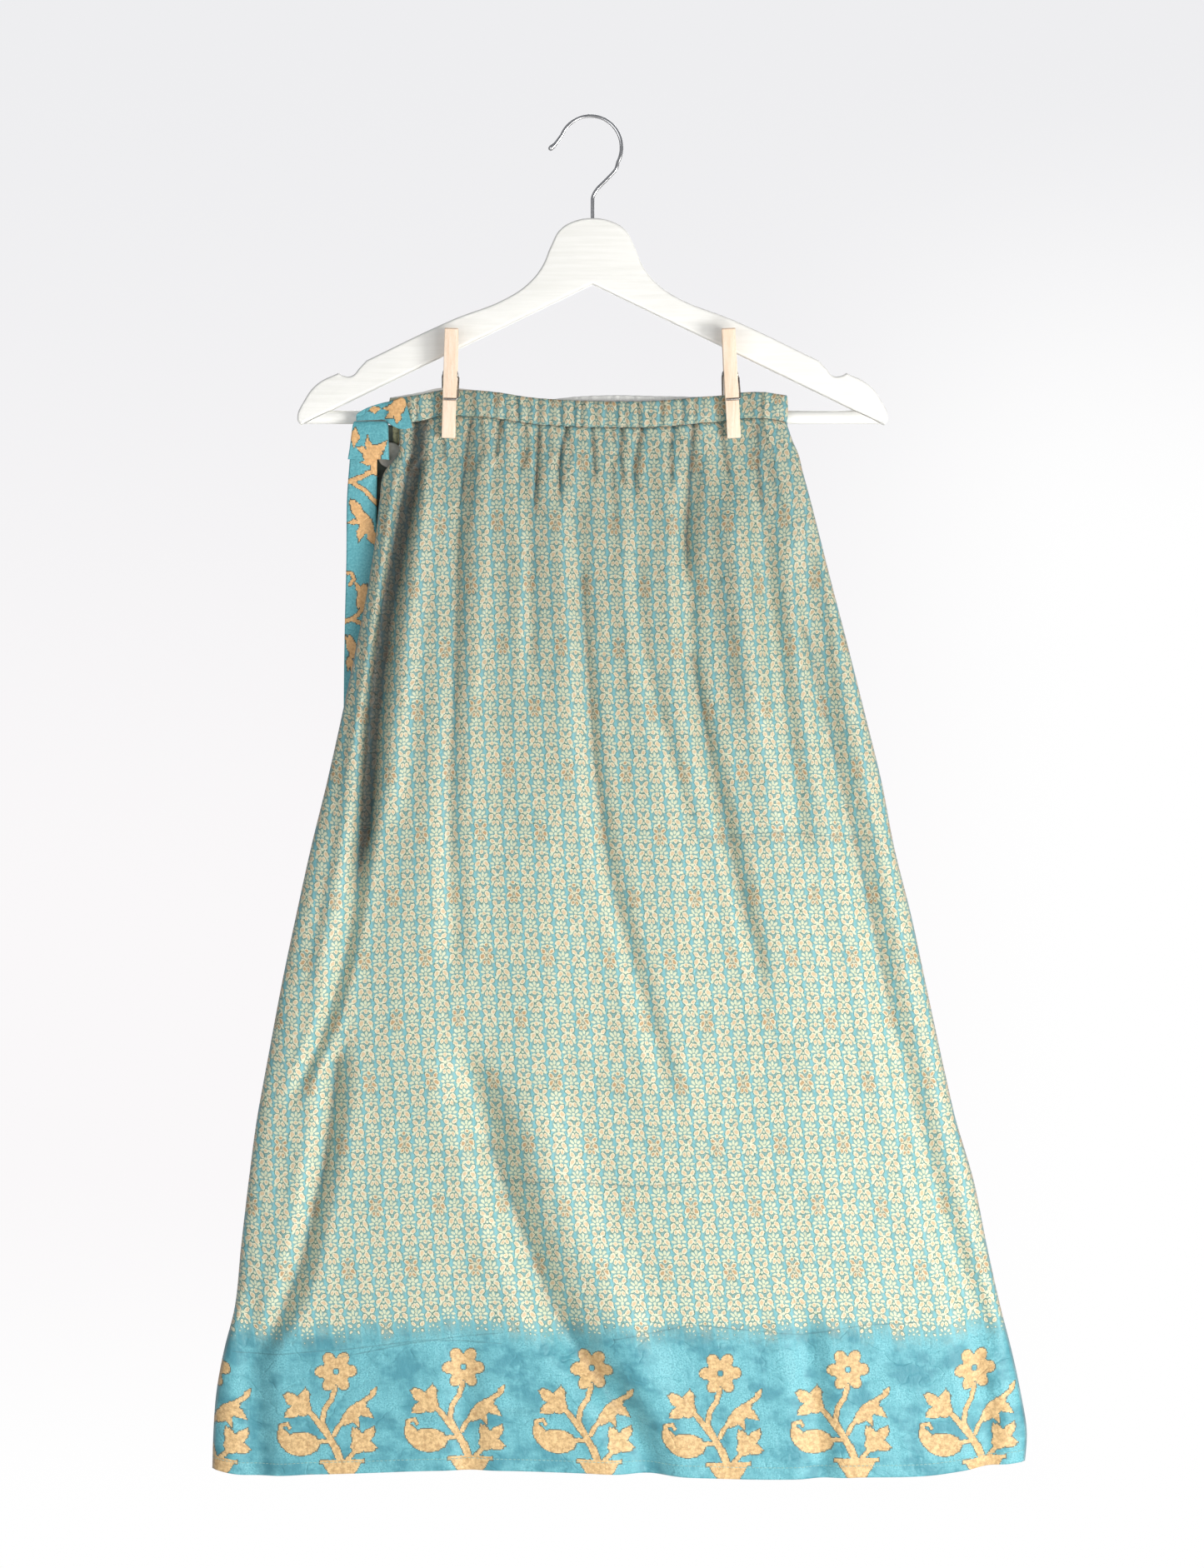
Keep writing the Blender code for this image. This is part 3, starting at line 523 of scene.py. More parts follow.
def field_ground(across):
    """The field's ground: a grey teal, with clearer teal stripes between the columns."""
    x = across.math("FLOORED_MODULO", PRINT_COLUMN) - PRINT_COLUMN / 2
    return abs(x).between(4.5, 5.2).mix(PRINT_GROUND, STRIPE)


def field_pattern(across, height):
    return small_print(across, height, field_ground(across), across * 0.0)


panel_satin = satin("printed_satin", panel_pattern)
waist_satin = satin("waistband_satin", field_pattern)

# Front and back panels: two flared pieces of the printed satin, gathered into the waistband and sewn
# together at the sides. The hem is turned up 9 mm. Folds start at the gathers and under the pegs.
SEAM = 0.3
CLOTH = 1.0
HEM_WALL = 1.9
HEM_DROP = 1005.0
HEM_TURN = 9.0
CASING_HEIGHT = 19.5
COLUMNS = 72
WAIST_LEFT, WAIST_RIGHT = -148.0, 147.0
SIDE_ROUND = 2.5
PINCHED_FRONT = -10.6
PINCH_HALF, PINCH_FADE = 8.0, 18.0
PINCH_DROP, PINCH_LENGTH = 240.0, 70.0
SEAM_CALM = 14.0  # folds and gathers fade out this near a side seam
FULL_SHADE, DARKEST = 3.6, 1.3  # a crease this deep has the whole painted shade, and none has more than 1.3 of it
HEM_GROOVE, HEM_GROOVE_WIDTH = 0.35, 1.3
PEG_PLACES = (-103.5, 106.3)
FOLD_FADE = 45.0

OUTLINE = (
    # drop, left edge, right edge
    (230, -141.0, 146.8),
    (242, -140.5, 151.0),
    (251, -141.5, 155.0),
    (263, -151.0, 158.0),
    (285, -155.2, 164.0),
    (310, -158.0, 170.4),
    (346, -163.5, 179.6),
    (395, -173.0, 192.4),
    (445, -183.5, 205.0),
    (494, -194.5, 217.0),
    (543, -206.5, 226.5),
    (593, -217.5, 239.0),
    (642, -227.8, 249.5),
    (691, -237.0, 260.0),
    (718, -242.0, 266.0),
    (740, -246.0, 271.0),
    (790, -252.8, 285.5),
    (839, -258.5, 295.5),
    (888, -264.0, 306.5),
    (913, -270.5, 313.0),
    (950, -277.2, 321.0),
    (975, -279.0, 325.0),
    (1008, -280.0, 322.8),
)
DEPTH = (
    # drop, front face, back face
    (200, -17.1, -5.9),
    (231, -17.1, -5.9),
    (263, -18.8, -2.4),
    (346, -20.5, 4.2),
    (494, -22.8, 10.0),
    (691, -24.8, 14.7),
    (888, -25.4, 17.2),
    (1008, -24.4, 17.0),
)
CASING_TOP = (
    # share of the waist from the left, drop
    (0.00, 210.0),
    (0.08, 207.0),
    (0.12, 204.0),
    (0.21, 204.0),
    (0.27, 205.7),
    (0.35, 209.4),
    (0.43, 211.3),
    (0.58, 212.5),
    (0.68, 211.9),
    (0.77, 209.4),
    (0.83, 207.6),
    (0.895, 205.1),
    (0.94, 205.4),
    (1.00, 208.0),
)
HEM = (
    # share of the hem from the left, drop
    (0.00, 1003.5),
    (0.03, 1006.5),
    (0.13, 1005.3),
    (0.31, 1001.6),
    (0.51, 1004.7),
    (0.69, 1008.4),
    (0.79, 1007.2),
    (0.89, 1005.9),
    (0.945, 1001.0),
    (1.00, 997.9),
)
FRONT_FOLDS = (
    # depth of the valley (a ridge is negative), half width, (across, drop) down its length
    (7.5, 7, ((-124, 225), (-143, 334), (-156, 440), (-168, 550), (-192, 666), (-223, 740))),
    (-4.0, 9, ((-110, 225), (-127, 334), (-138, 440), (-150, 540))),
    (-3.0, 7, ((-136, 240), (-156, 334), (-171, 440), (-186, 560), (-207, 666))),
    (4.0, 11, ((-95, 215), (-98, 309), (-101, 450), (-102, 540), (-99, 650))),
    (3.0, 7, ((-54, 225), (-45, 310), (-44, 430))),
    (4.5, 10, ((-14, 260), (-5, 370), (5, 500), (17, 568), (36, 642), (64, 740))),
    (5.0, 9, ((82, 225), (73, 320), (76, 414), (94, 494), (110, 562), (130, 660))),
    (3.5, 8, ((32, 300), (42, 408), (58, 470), (78, 545))),
    (5.5, 13, ((119, 225), (131, 328), (144, 450), (158, 560))),
    (-5.0, 16, ((105, 250), (112, 350), (125, 470))),
    (7.5, 14, ((162, 300), (177, 451), (196, 531), (230, 697), (273, 851), (303, 930))),
    (11.5, 19, ((-98, 680), (-84, 725), (-57, 808), (-35, 864), (-10, 913), (20, 950), (44, 1005),
                (60, 1050))),
    (-6.0, 22, ((-50, 700), (-15, 808), (20, 880), (55, 960))),
    (8.0, 11, ((-185, 670), (-190, 740), (-202, 802), (-217, 864), (-252, 935))),
    (6.0, 12, ((276, 880), (291, 950), (298, 1050))),
    (6.0, 13, ((155, 870), (163, 925), (170, 985), (174, 1040))),
    (6.0, 15, ((-252, 860), (-250, 920), (-246, 990), (-244, 1040))),
    (4.0, 14, ((-95, 880), (-92, 940), (-88, 1000), (-86, 1040))),
)
BACK_FOLDS = (
    (-4.5, 10, ((-100, 225), (-112, 330), (-130, 480), (-150, 640))),
    (-4.0, 12, ((-48, 235), (-52, 380), (-60, 560), (-70, 760))),
    (-4.0, 11, ((12, 240), (18, 400), (20, 600), (10, 800))),
    (-5.0, 13, ((70, 225), (86, 360), (112, 540), (140, 760), (150, 1010))),
    (-4.0, 12, ((118, 240), (150, 420), (190, 620), (225, 830))),
    (-7.0, 18, ((-120, 700), (-100, 820), (-80, 930), (-72, 1010))),
)
FRONT_CREASES = (
    # depth, half width, (across, drop) along it
    (12.0, 4.4, ((-124, 226), (-129.5, 262), (-140.5, 316), (-151.5, 378), (-161, 455), (-166, 530),
                 (-176, 590))),
    (3.2, 1.5, ((-107, 228), (-107.5, 240), (-106, 262))),
    (3.8, 1.5, ((-87, 226), (-89, 240), (-92, 262), (-97, 300))),
    (3.2, 1.5, ((-66, 227), (-67.5, 240), (-69, 258))),
    (3.6, 1.5, ((-37, 230), (-38, 248), (-39, 270), (-41, 300))),
    (3.4, 1.5, ((-16, 230), (-20, 244), (-22, 262), (-21, 300))),
    (2.6, 1.5, ((2, 231), (3, 250), (5, 275))),
    (3.0, 1.5, ((24, 231), (22.5, 250), (26, 280))),
    (3.0, 1.5, ((39, 231), (36, 246), (33, 262), (35, 290))),
    (2.6, 1.5, ((62, 229), (60, 252), (61, 280))),
    (4.4, 1.7, ((77, 230), (75, 262), (72, 310), (73, 350))),
    (3.0, 1.5, ((98, 229), (101, 250), (105, 275))),
    (3.6, 1.6, ((125, 230), (125.5, 262), (129, 300))),
    (1.4, 2.6, ((-96, 300), (-99, 400), (-102, 500), (-101, 600))),
    (1.6, 2.6, ((-6, 340), (3, 470), (14, 560), (36, 645))),
    (1.9, 3.0, ((76, 400), (92, 490), (108, 560), (128, 650))),
    (1.8, 2.8, ((160, 380), (178, 455), (196, 531), (213, 610), (231, 700))),
    (1.8, 4.0, ((-74, 760), (-50, 822), (-28, 880), (8, 935), (34, 985))),
    (2.6, 2.8, ((-186, 700), (-196, 780), (-212, 850), (-240, 915))),
    (0.7, 1.8, ((88, 536), (150, 533), (236, 540))),
    (0.6, 1.6, ((-60, 790), (-10, 786), (60, 792), (150, 788))),
    (0.6, 1.6, ((-262, 915), (-200, 906), (-120, 901), (-60, 893))),
    (0.6, 1.6, ((20, 905), (80, 892), (160, 903), (250, 890))),
    (0.7, 1.6, ((-10, 700), (18, 722), (44, 742))),
    (0.6, 1.5, ((-150, 760), (-95, 770), (-40, 762))),
    (0.6, 1.8, ((-150, 965), (-60, 958), (30, 965), (130, 960))),
)
BACK_CREASES = (
    (2.2, 2.2, ((-118, 229), (-122, 262), (-128, 320))),
    (1.8, 2.0, ((-84, 229), (-86, 262), (-90, 300))),
    (2.0, 2.0, ((-52, 229), (-50, 262), (-54, 310))),
    (1.6, 2.0, ((-20, 229), (-24, 262), (-22, 290))),
    (2.2, 2.2, ((16, 229), (18, 262), (14, 330))),
    (1.8, 2.0, ((48, 229), (52, 262), (54, 300))),
    (2.2, 2.2, ((86, 229), (90, 262), (96, 320))),
    (1.8, 2.0, ((122, 229), (124, 262), (130, 300))),
    (0.7, 1.8, ((-170, 540), (-60, 536), (80, 544), (200, 538))),
    (0.6, 1.6, ((-220, 800), (-80, 794), (60, 802), (240, 796))),
)
LEAN = (
    # drop, lean of the print's columns at the middle in degrees, more for each 100 mm across
    (231, 1.5, 0.1),
    (334, 2.3, 0.2),
    (457, 3.4, 0.9),
    (580, 4.2, 1.4),
    (703, 3.8, 1.0),
    (765, 4.3, 0.6),
    (827, 5.7, 0.6),
    (864, 6.8, 0.5),
    (1008, 7.5, 0.4),
)


def smooth_step(value):
    value = np.clip(value, 0.0, 1.0)
    return value * value * (3.0 - 2.0 * value)


def cubic(a, b, p, q, u):
    """(2u^3 - 3u^2 + 1)a + (3u^2 - 2u^3)b + (u^3 - 2u^2 + u)p + (u^3 - u^2)q: the curve from a to b whose
    slopes there are p and q."""
    ends = (2 * u**3 - 3 * u**2 + 1) * a + (3 * u**2 - 2 * u**3) * b
    return ends + (u**3 - 2 * u**2 + u) * p + (u**3 - u**2) * q


def along(at, table, column):
    """A table's column at a drop or share: a cubic through the rows, its slopes the table's own."""
    rows = np.array([row[: column + 1] for row in table], float)
    x, y = rows[:, 0], rows[:, column]
    slope = np.gradient(y, x)
    at = np.clip(at, x[0], x[-1])
    i = np.clip(np.searchsorted(x, at, side="right") - 1, 0, len(x) - 2)
    step = x[i + 1] - x[i]
    return cubic(y[i], y[i + 1], step * slope[i], step * slope[i + 1], (at - x[i]) / step)


def column_shares():
    """Where the gathers' crests and valleys stand across a panel, in steps 1 + 0.28 sin 2.4j +
    0.16 sin(5.1j + 1)."""
    j = np.arange(COLUMNS)
    steps = 1.0 + 0.28 * np.sin(2.4 * j) + 0.16 * np.sin(5.1 * j + 1.0)
    return np.concatenate([[0.0], np.cumsum(steps)]) / steps.sum()


def gathers(j, below, phase):
    """Fine gathers, cos(pi j), that merge by twos and fours and fade with the distance below the casing."""
    uneven = 1.0 + 0.35 * np.sin(1.7 * j + 0.5 + phase) + 0.3 * np.sin(0.53 * j + 1.3 * phase)
    drift = 0.7 * np.sin(0.31 * j + phase)
    fine = np.cos(math.pi * j) * uneven * (0.7 * np.exp(-below / 14.0) + 0.07 * np.exp(-below / 260.0))
    pairs = np.cos(math.pi * j / 2 + 0.6 + phase + drift) * 0.6 * np.exp(-(((below - 42.0) / 40.0) ** 2))
    fours = np.cos(math.pi * j / 4 + 1.1 + phase + drift) * 0.9 * np.exp(-(((below - 130.0) / 110.0) ** 2))
    eights = np.cos(math.pi * j / 7 + 0.4 + phase) * 1.4 * np.exp(-(((below - 320.0) / 220.0) ** 2))
    return fine + pairs + fours + eights


def fold_depth(across, drop, folds):
    """The sum of the folds: depth (1 - 0.8 q) e^(-0.8 q), q the squared distance over the half width."""
    total = np.zeros_like(across)
    for depth, half_width, path in folds:
        line = along(drop, [(down, x) for x, down in path], 1)
        q = ((across - line) / half_width) ** 2
        first, last = path[0][1], path[-1][1]
        ends = smooth_step((drop - first) / FOLD_FADE) * smooth_step((last - drop) / FOLD_FADE)
        total += depth * ends * (1.0 - 0.8 * q) * np.exp(-0.8 * q)
    return total


def crease_depth(across, drop, creases):
    """Narrow creases: depth x e^(-(distance / half width)^1.4), the distance taken to the crease's pieces,
    fading over the last quarter of its length."""
    total = np.zeros_like(across)
    for depth, half_width, path in creases:
        best = np.full_like(across, np.inf)
        fade = np.ones_like(across)
        count = len(path) - 1
        for i, ((x0, d0), (x1, d1)) in enumerate(zip(path, path[1:])):
            run = (x1 - x0, d1 - d0)
            share = ((across - x0) * run[0] + (drop - d0) * run[1]) / (run[0] ** 2 + run[1] ** 2)
            share = np.clip(share, 0, 1)
            away = np.hypot(across - x0 - share * run[0], drop - d0 - share * run[1])
            place = (i + share) / count
            nearer = away < best
            best = np.where(nearer, away, best)
            fade = np.where(nearer, smooth_step((1 - place) * 4.0), fade)
        total += depth * fade * np.exp(-((best / half_width) ** 1.4))
    return total


def pinch(across, drop):
    """1 where a peg's jaws press the cloth, 0 away from them."""
    near = np.zeros_like(across)
    for peg in PEG_PLACES:
        near = np.maximum(near, 1.0 - smooth_step((np.abs(across - peg) - PINCH_HALF) / PINCH_FADE))
    return near * (1.0 - smooth_step((drop - PINCH_DROP) / PINCH_LENGTH))


def midway(drop):
    return (along(drop, DEPTH, 1) + along(drop, DEPTH, 2)) / 2


def sheet_face(side, share, across, drop):
    """Y of a plain front (side -1) or back (side 1): (1 - |2s - 1|^2.5)^(1/2.5) from the side seams, which
    lie midway, to the face."""
    middle = midway(drop)
    face = along(drop, DEPTH, 1 if side < 0 else 2)
    swell = (1.0 - np.abs(2 * share - 1) ** SIDE_ROUND) ** (1 / SIDE_ROUND)
    y = middle + (face - middle) * swell
    if side < 0:
        y = y + (PINCHED_FRONT - y) * pinch(across, drop)
    return y


def flat_across(across, drop, y):
    """Place across the flat cloth: each point follows the print's lean down to the hem, in 40 steps, and
    a part of what the folds take up above the border is added, measured along each row from the middle."""
    x, down = across.copy(), drop.copy()
    step = (HEM_DROP - drop) / 40
    for _ in range(40):
        lean = along(down, LEAN, 1) + along(down, LEAN, 2) * x / 100
        x = x + np.tan(np.radians(lean)) * step
        down = down + step
    run = np.hypot(np.diff(across, axis=1), np.diff(y, axis=1)) - np.diff(across, axis=1)
    taken = np.concatenate([np.zeros((len(across), 1)), np.cumsum(run, axis=1)], axis=1)
    middle = taken[:, [taken.shape[1] // 2]]
    return x + (taken - middle) * 0.3 * smooth_step((HEM_DROP - 110.0 - drop) / 260.0)


def kept_in(depth, room):
    """A depth that stays within its room: past 0.6 of the room it nears it as 1 - e^(-x)."""
    past = np.maximum(depth - 0.6 * room, 0.0)
    return np.minimum(depth, 0.6 * room) + 0.4 * room * (1.0 - np.exp(-past / (0.4 * room)))


def outward(points, side):
    """Unit normals of a grid, pointing to -Y (side -1) or +Y (side 1)."""
    normal = np.cross(np.gradient(points, axis=1), np.gradient(points, axis=0))
    normal /= np.maximum(np.linalg.norm(normal, axis=-1, keepdims=True), 1e-9)
    return normal * np.sign(normal[..., 1].mean() * side)


def shell(name, outer, inner, look, cloth, side=-1):
    """A closed wall between two grids. Its faces turn outwards: towards side on the outer grid. The parts of
    cloth are stored for both grids alike, apart from the painted crease shade, which the inner one has none
    of."""
    rows, columns, _ = outer.shape
    index = np.arange(rows * columns).reshape(rows, columns)
    count = rows * columns
    quads = np.stack([index[:-1, :-1], index[1:, :-1], index[1:, 1:], index[:-1, 1:]], -1).reshape(-1, 4)
    rim = np.concatenate([index[0], index[1:, -1], index[-1, -2::-1], index[-2:0:-1, 0]])
    after = np.roll(rim, -1)
    sides = np.stack([rim, after, after + count, rim + count], -1)
    faces = np.concatenate([quads, quads[:, ::-1] + count, sides])
    if side > 0:
        faces = faces[:, ::-1]
    points = np.concatenate([outer.reshape(-1, 3), inner.reshape(-1, 3)])
    across, height, painted_shade = cloth
    painted_shade = np.concatenate([painted_shade.ravel(), np.zeros(count)])
    stored = np.stack([np.tile(across.ravel(), 2), np.tile(height.ravel(), 2), painted_shade], -1)
    return surface(name, points, faces, [look], stored)


def panel_grid(side, folds, creases):
    """Outer points of a panel, their places across the flat cloth, heights above the hem and painted crease
    shade.
    """
    j = np.linspace(0, COLUMNS, COLUMNS * 3 + 1)[None, :]
    share = np.interp(j[0], np.arange(COLUMNS + 1), column_shares())[None, :]
    spans = ((0.0, 0.12, 40), (0.12, 0.972, 148), (0.972, 1.0, 16))
    down = np.unique(np.concatenate([np.linspace(*span) for span in spans]))
    _, first_left, first_right = OUTLINE[0]
    at_waist = (first_left + share * (first_right - first_left) - WAIST_LEFT) / (WAIST_RIGHT - WAIST_LEFT)
    top = along(at_waist, CASING_TOP, 1) + CASING_HEIGHT + SEAM
    bottom = along(share, HEM, 1)
    drop = top + down[:, None] * (bottom - top)
    left, right = along(drop, OUTLINE, 1), along(drop, OUTLINE, 2)
    across = left + share * (right - left)
    from_edge = np.minimum(share, 1 - share) * (right - left)
    off_seam, off_peg = smooth_step(from_edge / SEAM_CALM), 1.0 - pinch(across, drop)
    calm = off_seam * off_peg
    y = sheet_face(side, share, across, drop)
    room = np.maximum(side * (y - midway(drop)) - CLOTH - SEAM, 0.5)
    narrow = crease_depth(across, drop, creases) * off_seam
    depth = fold_depth(across, drop, folds) * calm + narrow * off_peg
    y = y + side * gathers(j, drop - top, side) * calm - side * kept_in(depth, room)
    height = bottom - drop
    y = y - side * HEM_GROOVE * np.exp(-(((height - HEM_TURN) / HEM_GROOVE_WIDTH) ** 2))
    y[:, [0, -1]] += side * SEAM / 2
    flat = flat_across(across, drop, y)
    return np.stack([across, y, -drop], axis=-1), flat, height, np.clip(narrow / FULL_SHADE, 0.0, DARKEST)


def stands_for(made, node):
    """The piece rides on the one body and replaces a node of the frame."""
    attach(made, "root")
    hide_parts(node)
    return made


def make_panel(name, node, side, folds, creases):
    """A panel's shell, 1 mm thick, and 1.9 mm where the hem is turned."""
    outer, flat, height, painted_shade = panel_grid(side, folds, creases)
    normal = outward(outer, side)
    normal[:, 0], normal[:, -1] = (-1, 0, 0), (1, 0, 0)
    wall = CLOTH + (HEM_WALL - CLOTH) * smooth_step((HEM_TURN - height) / 1.5)
    inner = outer - normal * wall[..., None]
    inner[-1] += (0, 0, 0.5)
    across = flat if side < 0 else -flat
    made = shell(name, outer, inner, panel_satin, (across, height, painted_shade), side)
    stands_for(made, node)
    return outer, across, height


front_grid = make_panel("front_panel", "skirt_front", -1, FRONT_FOLDS, FRONT_CREASES)
back_grid = make_panel("back_panel", "skirt_back", 1, BACK_FOLDS, BACK_CREASES)

# Waistband: the two halves of the elastic casing in the same satin, drawn up in gathers, with a pale
# facing inside that shows where the back stands above the front. The print runs on from the panels.
BACK_RISE = (
    # share of the waist from the left, how far the back half stands above the front
    (0.00, 0.5),
    (0.05, 1.8),
    (0.18, 1.2),
    (0.27, 0.2),
    (0.40, 0.6),
    (0.46, 3.4),
    (0.70, 3.6),
    (0.79, 0.4),
    (1.00, 0.4),
)
CASING_RING = (
    # share of the height below the top, in from the face, share of the gathers' depth
    (1.00, 0.70, 1.00),
    (0.975, 0.25, 1.00),
    (0.935, 0.60, 0.90),
    (0.89, 0.10, 1.00),
    (0.72, -0.20, 0.90),
    (0.50, -0.30, 0.80),
    (0.28, -0.20, 0.90),
    (0.12, 0.00, 1.05),
    (0.035, 0.35, 1.15),
    (0.00, 1.10, 1.15),
    (0.035, 1.85, 1.00),
    (0.15, 2.15, 0.80),
    (0.60, 2.20, 0.50),
    (1.00, 2.20, 0.50),
)
STITCH_ROW = 2  # the row of the ring that the stitches lie in
FACING_ROW = 9  # the row where the printed cloth ends and the facing begins

facing, facing_start, facing_finish = principled("pale_facing", 0.75)
facing_weave = noise(object_space(facing_start), 0.9, 2.0)
facing_finish(
    Base_Color=facing_weave.between(0.3, 0.7).mix(srgb(244, 243, 238), srgb(252, 251, 247)),
    Normal=bumped(facing_weave, 0.15),
)


def make_waistband(name, node, side, grid):
    """A closed ring of points carried along the waist. Its face stands in and out by 0.7 x the uneven
    depth x cos(pi j + a slow drift), so the gathers run on from the panel's."""
    panel_points, panel_across, panel_height = grid
    j = np.linspace(0, COLUMNS, COLUMNS * 6 + 1)
    share = np.interp(j, np.arange(COLUMNS + 1), column_shares())
    across = WAIST_LEFT + share * (WAIST_RIGHT - WAIST_LEFT)
    bottom = along(share, CASING_TOP, 1) + CASING_HEIGHT
    top = bottom - CASING_HEIGHT - (along(share, BACK_RISE, 1) if side > 0 else 0.0)
    calm = smooth_step(np.minimum(share, 1 - share) * (WAIST_RIGHT - WAIST_LEFT) / SEAM_CALM)
    calm = calm * (1.0 - pinch(across, top))
    uneven = 0.8 + 0.28 * np.sin(1.7 * j + 0.5 + side) + 0.15 * np.sin(0.61 * j)
    middle = (sheet_face(-1, share, across, top) + sheet_face(1, share, across, top)) / 2 + side * SEAM / 2
    flat_x = np.interp(across, panel_points[0, :, 0], panel_across[0])
    flat_up = np.interp(across, panel_points[0, :, 0], panel_height[0])
    points, cloth = [], []
    for row, (low, inward, depth) in enumerate(CASING_RING):
        drop = top + low * (bottom - top)
        drift = 0.5 * np.sin(0.9 * j + 2.2 * low)
        wave = uneven * calm * np.cos(math.pi * j + drift)
        ripple = side * depth * 0.7 * wave
        y = sheet_face(side, share, across, top) + ripple - side * inward
        y = side * np.maximum(side * y, side * middle)
        x = across.copy()
        x[0], x[-1] = WAIST_LEFT + inward, WAIST_RIGHT - inward
        y[[0, -1]] = middle[0]
        points.append(np.stack([x, y, -drop], -1))
        # painted shade in the valleys of the gathers, on the printed rows only
        painted_shade = smooth_step((-wave - 0.55) / 0.5) * 0.55 * (row <= FACING_ROW)
        cloth.append(np.stack([flat_x, flat_up + SEAM + bottom - drop, painted_shade], -1))
    index = np.arange(len(points) * len(j)).reshape(len(points), len(j))
    after = np.roll(index, -1, axis=0)
    quads = np.stack([index[:, :-1], after[:, :-1], after[:, 1:], index[:, 1:]], -1)
    if side > 0:
        quads = quads[..., ::-1]
    faces = quads.reshape(-1, 4).tolist() + [index[:: -side, 0].tolist(), index[::side, -1].tolist()]
    which = np.repeat(np.arange(len(points)) >= FACING_ROW, len(j) - 1).astype(int).tolist() + [0, 0]
    made = surface(name, np.concatenate(points), faces, [waist_satin, facing], np.concatenate(cloth), which)
    stands_for(made, node)
    return points[STITCH_ROW]


front_stitch_line = make_waistband("front_waistband", "waistband_front", -1, front_grid)
back_stitch_line = make_waistband("back_waistband", "waistband_back", 1, back_grid)

# Sewing: a row of stitches closes the casing at the bottom, and another holds the turned hem. Each
# stitch is a small six-sided grain of thread that lies along its line, half sunk in the cloth.
STITCH_LENGTH, STITCH_PITCH, THREAD_RADIUS = 2.3, 3.1, 0.26
GRAIN_SIDES = 6
GRAIN = (
    # share along it, share of the radius
    (0.0, 0.35),
    (0.16, 0.85),
    (0.5, 1.0),
    (0.84, 0.85),
    (1.0, 0.35),
)

thread, thread_start, thread_finish = principled("sewing_thread", 0.6)
thread_finish(Base_Color=noise(object_space(thread_start), 0.3).mix(srgb(120, 168, 164), srgb(168, 196, 182)))


def ring_faces(rings, sides, first=0):
    """Quads between rings of points that follow each other from the number first on."""
    starts = [first + ring * sides for ring in range(rings - 1)]
    pairs = [(start + k, start + (k + 1) % sides) for start in starts for k in range(sides)]
    return [(a, b, b + sides, a + sides) for a, b in pairs]


def stitches(name, line, side):
    """Grains of thread every 3.1 mm along a line of points on the outside of the cloth."""
    run = np.concatenate([[0.0], np.cumsum(np.linalg.norm(np.diff(line, axis=0), axis=1))])
    starts = np.arange(1.5, run[-1] - STITCH_LENGTH - 1.5, STITCH_PITCH)
    points, faces = [], []
    for start in starts:
        along_grain = [start + share * STITCH_LENGTH for share, _ in GRAIN]
        middle = np.stack([np.interp(along_grain, run, line[:, axis]) for axis in range(3)], -1)
        forward = (middle[-1] - middle[0]) / np.linalg.norm(middle[-1] - middle[0])
        outwards = np.array([0.0, side, 0.0]) - forward * forward[1] * side
        outwards /= np.linalg.norm(outwards)
        upward = np.cross(forward, outwards)
        first = len(points)
        for centre, (_, size) in zip(middle, GRAIN):
            for turn in np.arange(GRAIN_SIDES) * 2 * math.pi / GRAIN_SIDES:
                round_it = outwards * math.cos(turn) + upward * math.sin(turn)
                points.append(centre + outwards * 0.1 + round_it * size * THREAD_RADIUS)
        faces += ring_faces(len(GRAIN), GRAIN_SIDES, first)
        faces.append(tuple(range(first, first + GRAIN_SIDES))[::-1])
        faces.append(tuple(range(len(points) - GRAIN_SIDES, len(points))))
    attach(surface(name, points, faces, [thread]), "root")


def hem_line(grid):
    points, _, height = grid
    row = np.abs(height.mean(axis=1) - HEM_TURN).argmin()
    return points[row]


stitches("casing_stitches_front", front_stitch_line, -1)
stitches("casing_stitches_back", back_stitch_line, 1)
stitches("hem_stitches_front", hem_line(front_grid), -1)
stitches("hem_stitches_back", hem_line(back_grid), 1)

# Tie: a band of the teal border cloth with large gold maple leaves on a branch. It is sewn over the
# waistband's end, folds down, hangs behind the skirt's left edge, and a second run hangs behind it, painted
# dark as deep shade.
TIE_CLOTH = 1.2
TIE_WRAP = (
    # top across, top drop, bottom across, bottom drop, face (None where it follows the casing)
    (-172.5, 222.5, -172.5, 226.4, -12.0),
    (-170.5, 220.4, -170.5, 226.4, -12.6),
    (-164.5, 217.2, -164.5, 226.2, -13.4),
    (-157.0, 214.6, -157.0, 226.0, -14.0),
    (-151.5, 213.2, -151.5, 226.0, -14.6),
    (-148.0, 212.6, -147.0, 229.6, None),
    (-143.5, 211.4, -141.0, 232.6, None),
    (-139.0, 209.6, -135.5, 233.0, None),
    (-136.0, 211.0, -130.6, 231.8, None),
)
TIE_FOLD = (
    # drop, left, right, face
    (226.8, -173.4, -151.0, -12.2),
    (227.8, -174.2, -151.0, -13.6),
    (231.0, -175.0, -150.9, -14.4),
    (238.0, -176.0, -150.8, -14.2),
    (247.0, -177.2, -150.5, -13.8),
    (255.2, -178.6, -150.3, -13.0),
)
TIE_RETURN_OUT, TIE_RETURN_BACK = 2.2, 4.6  # the fold's side, to the right and backwards
TIE_TAIL = (
    # drop, left, right, face
    (238, -176.4, -156.8, -12.0),
    (247, -177.0, -156.9, -11.4),
    (256, -177.5, -157.1, -10.2),
    (285, -179.8, -157.7, -6.0),
    (322, -180.4, -158.2, -2.8),
    (345, -181.0, -159.0, -1.0),
    (381, -182.0, -160.0, 1.4),
    (436, -183.0, -161.0, 5.2),
    (500, -183.2, -161.2, 8.8),
    (560, -182.0, -160.0, 11.6),
    (620, -179.5, -157.5, 13.8),
)
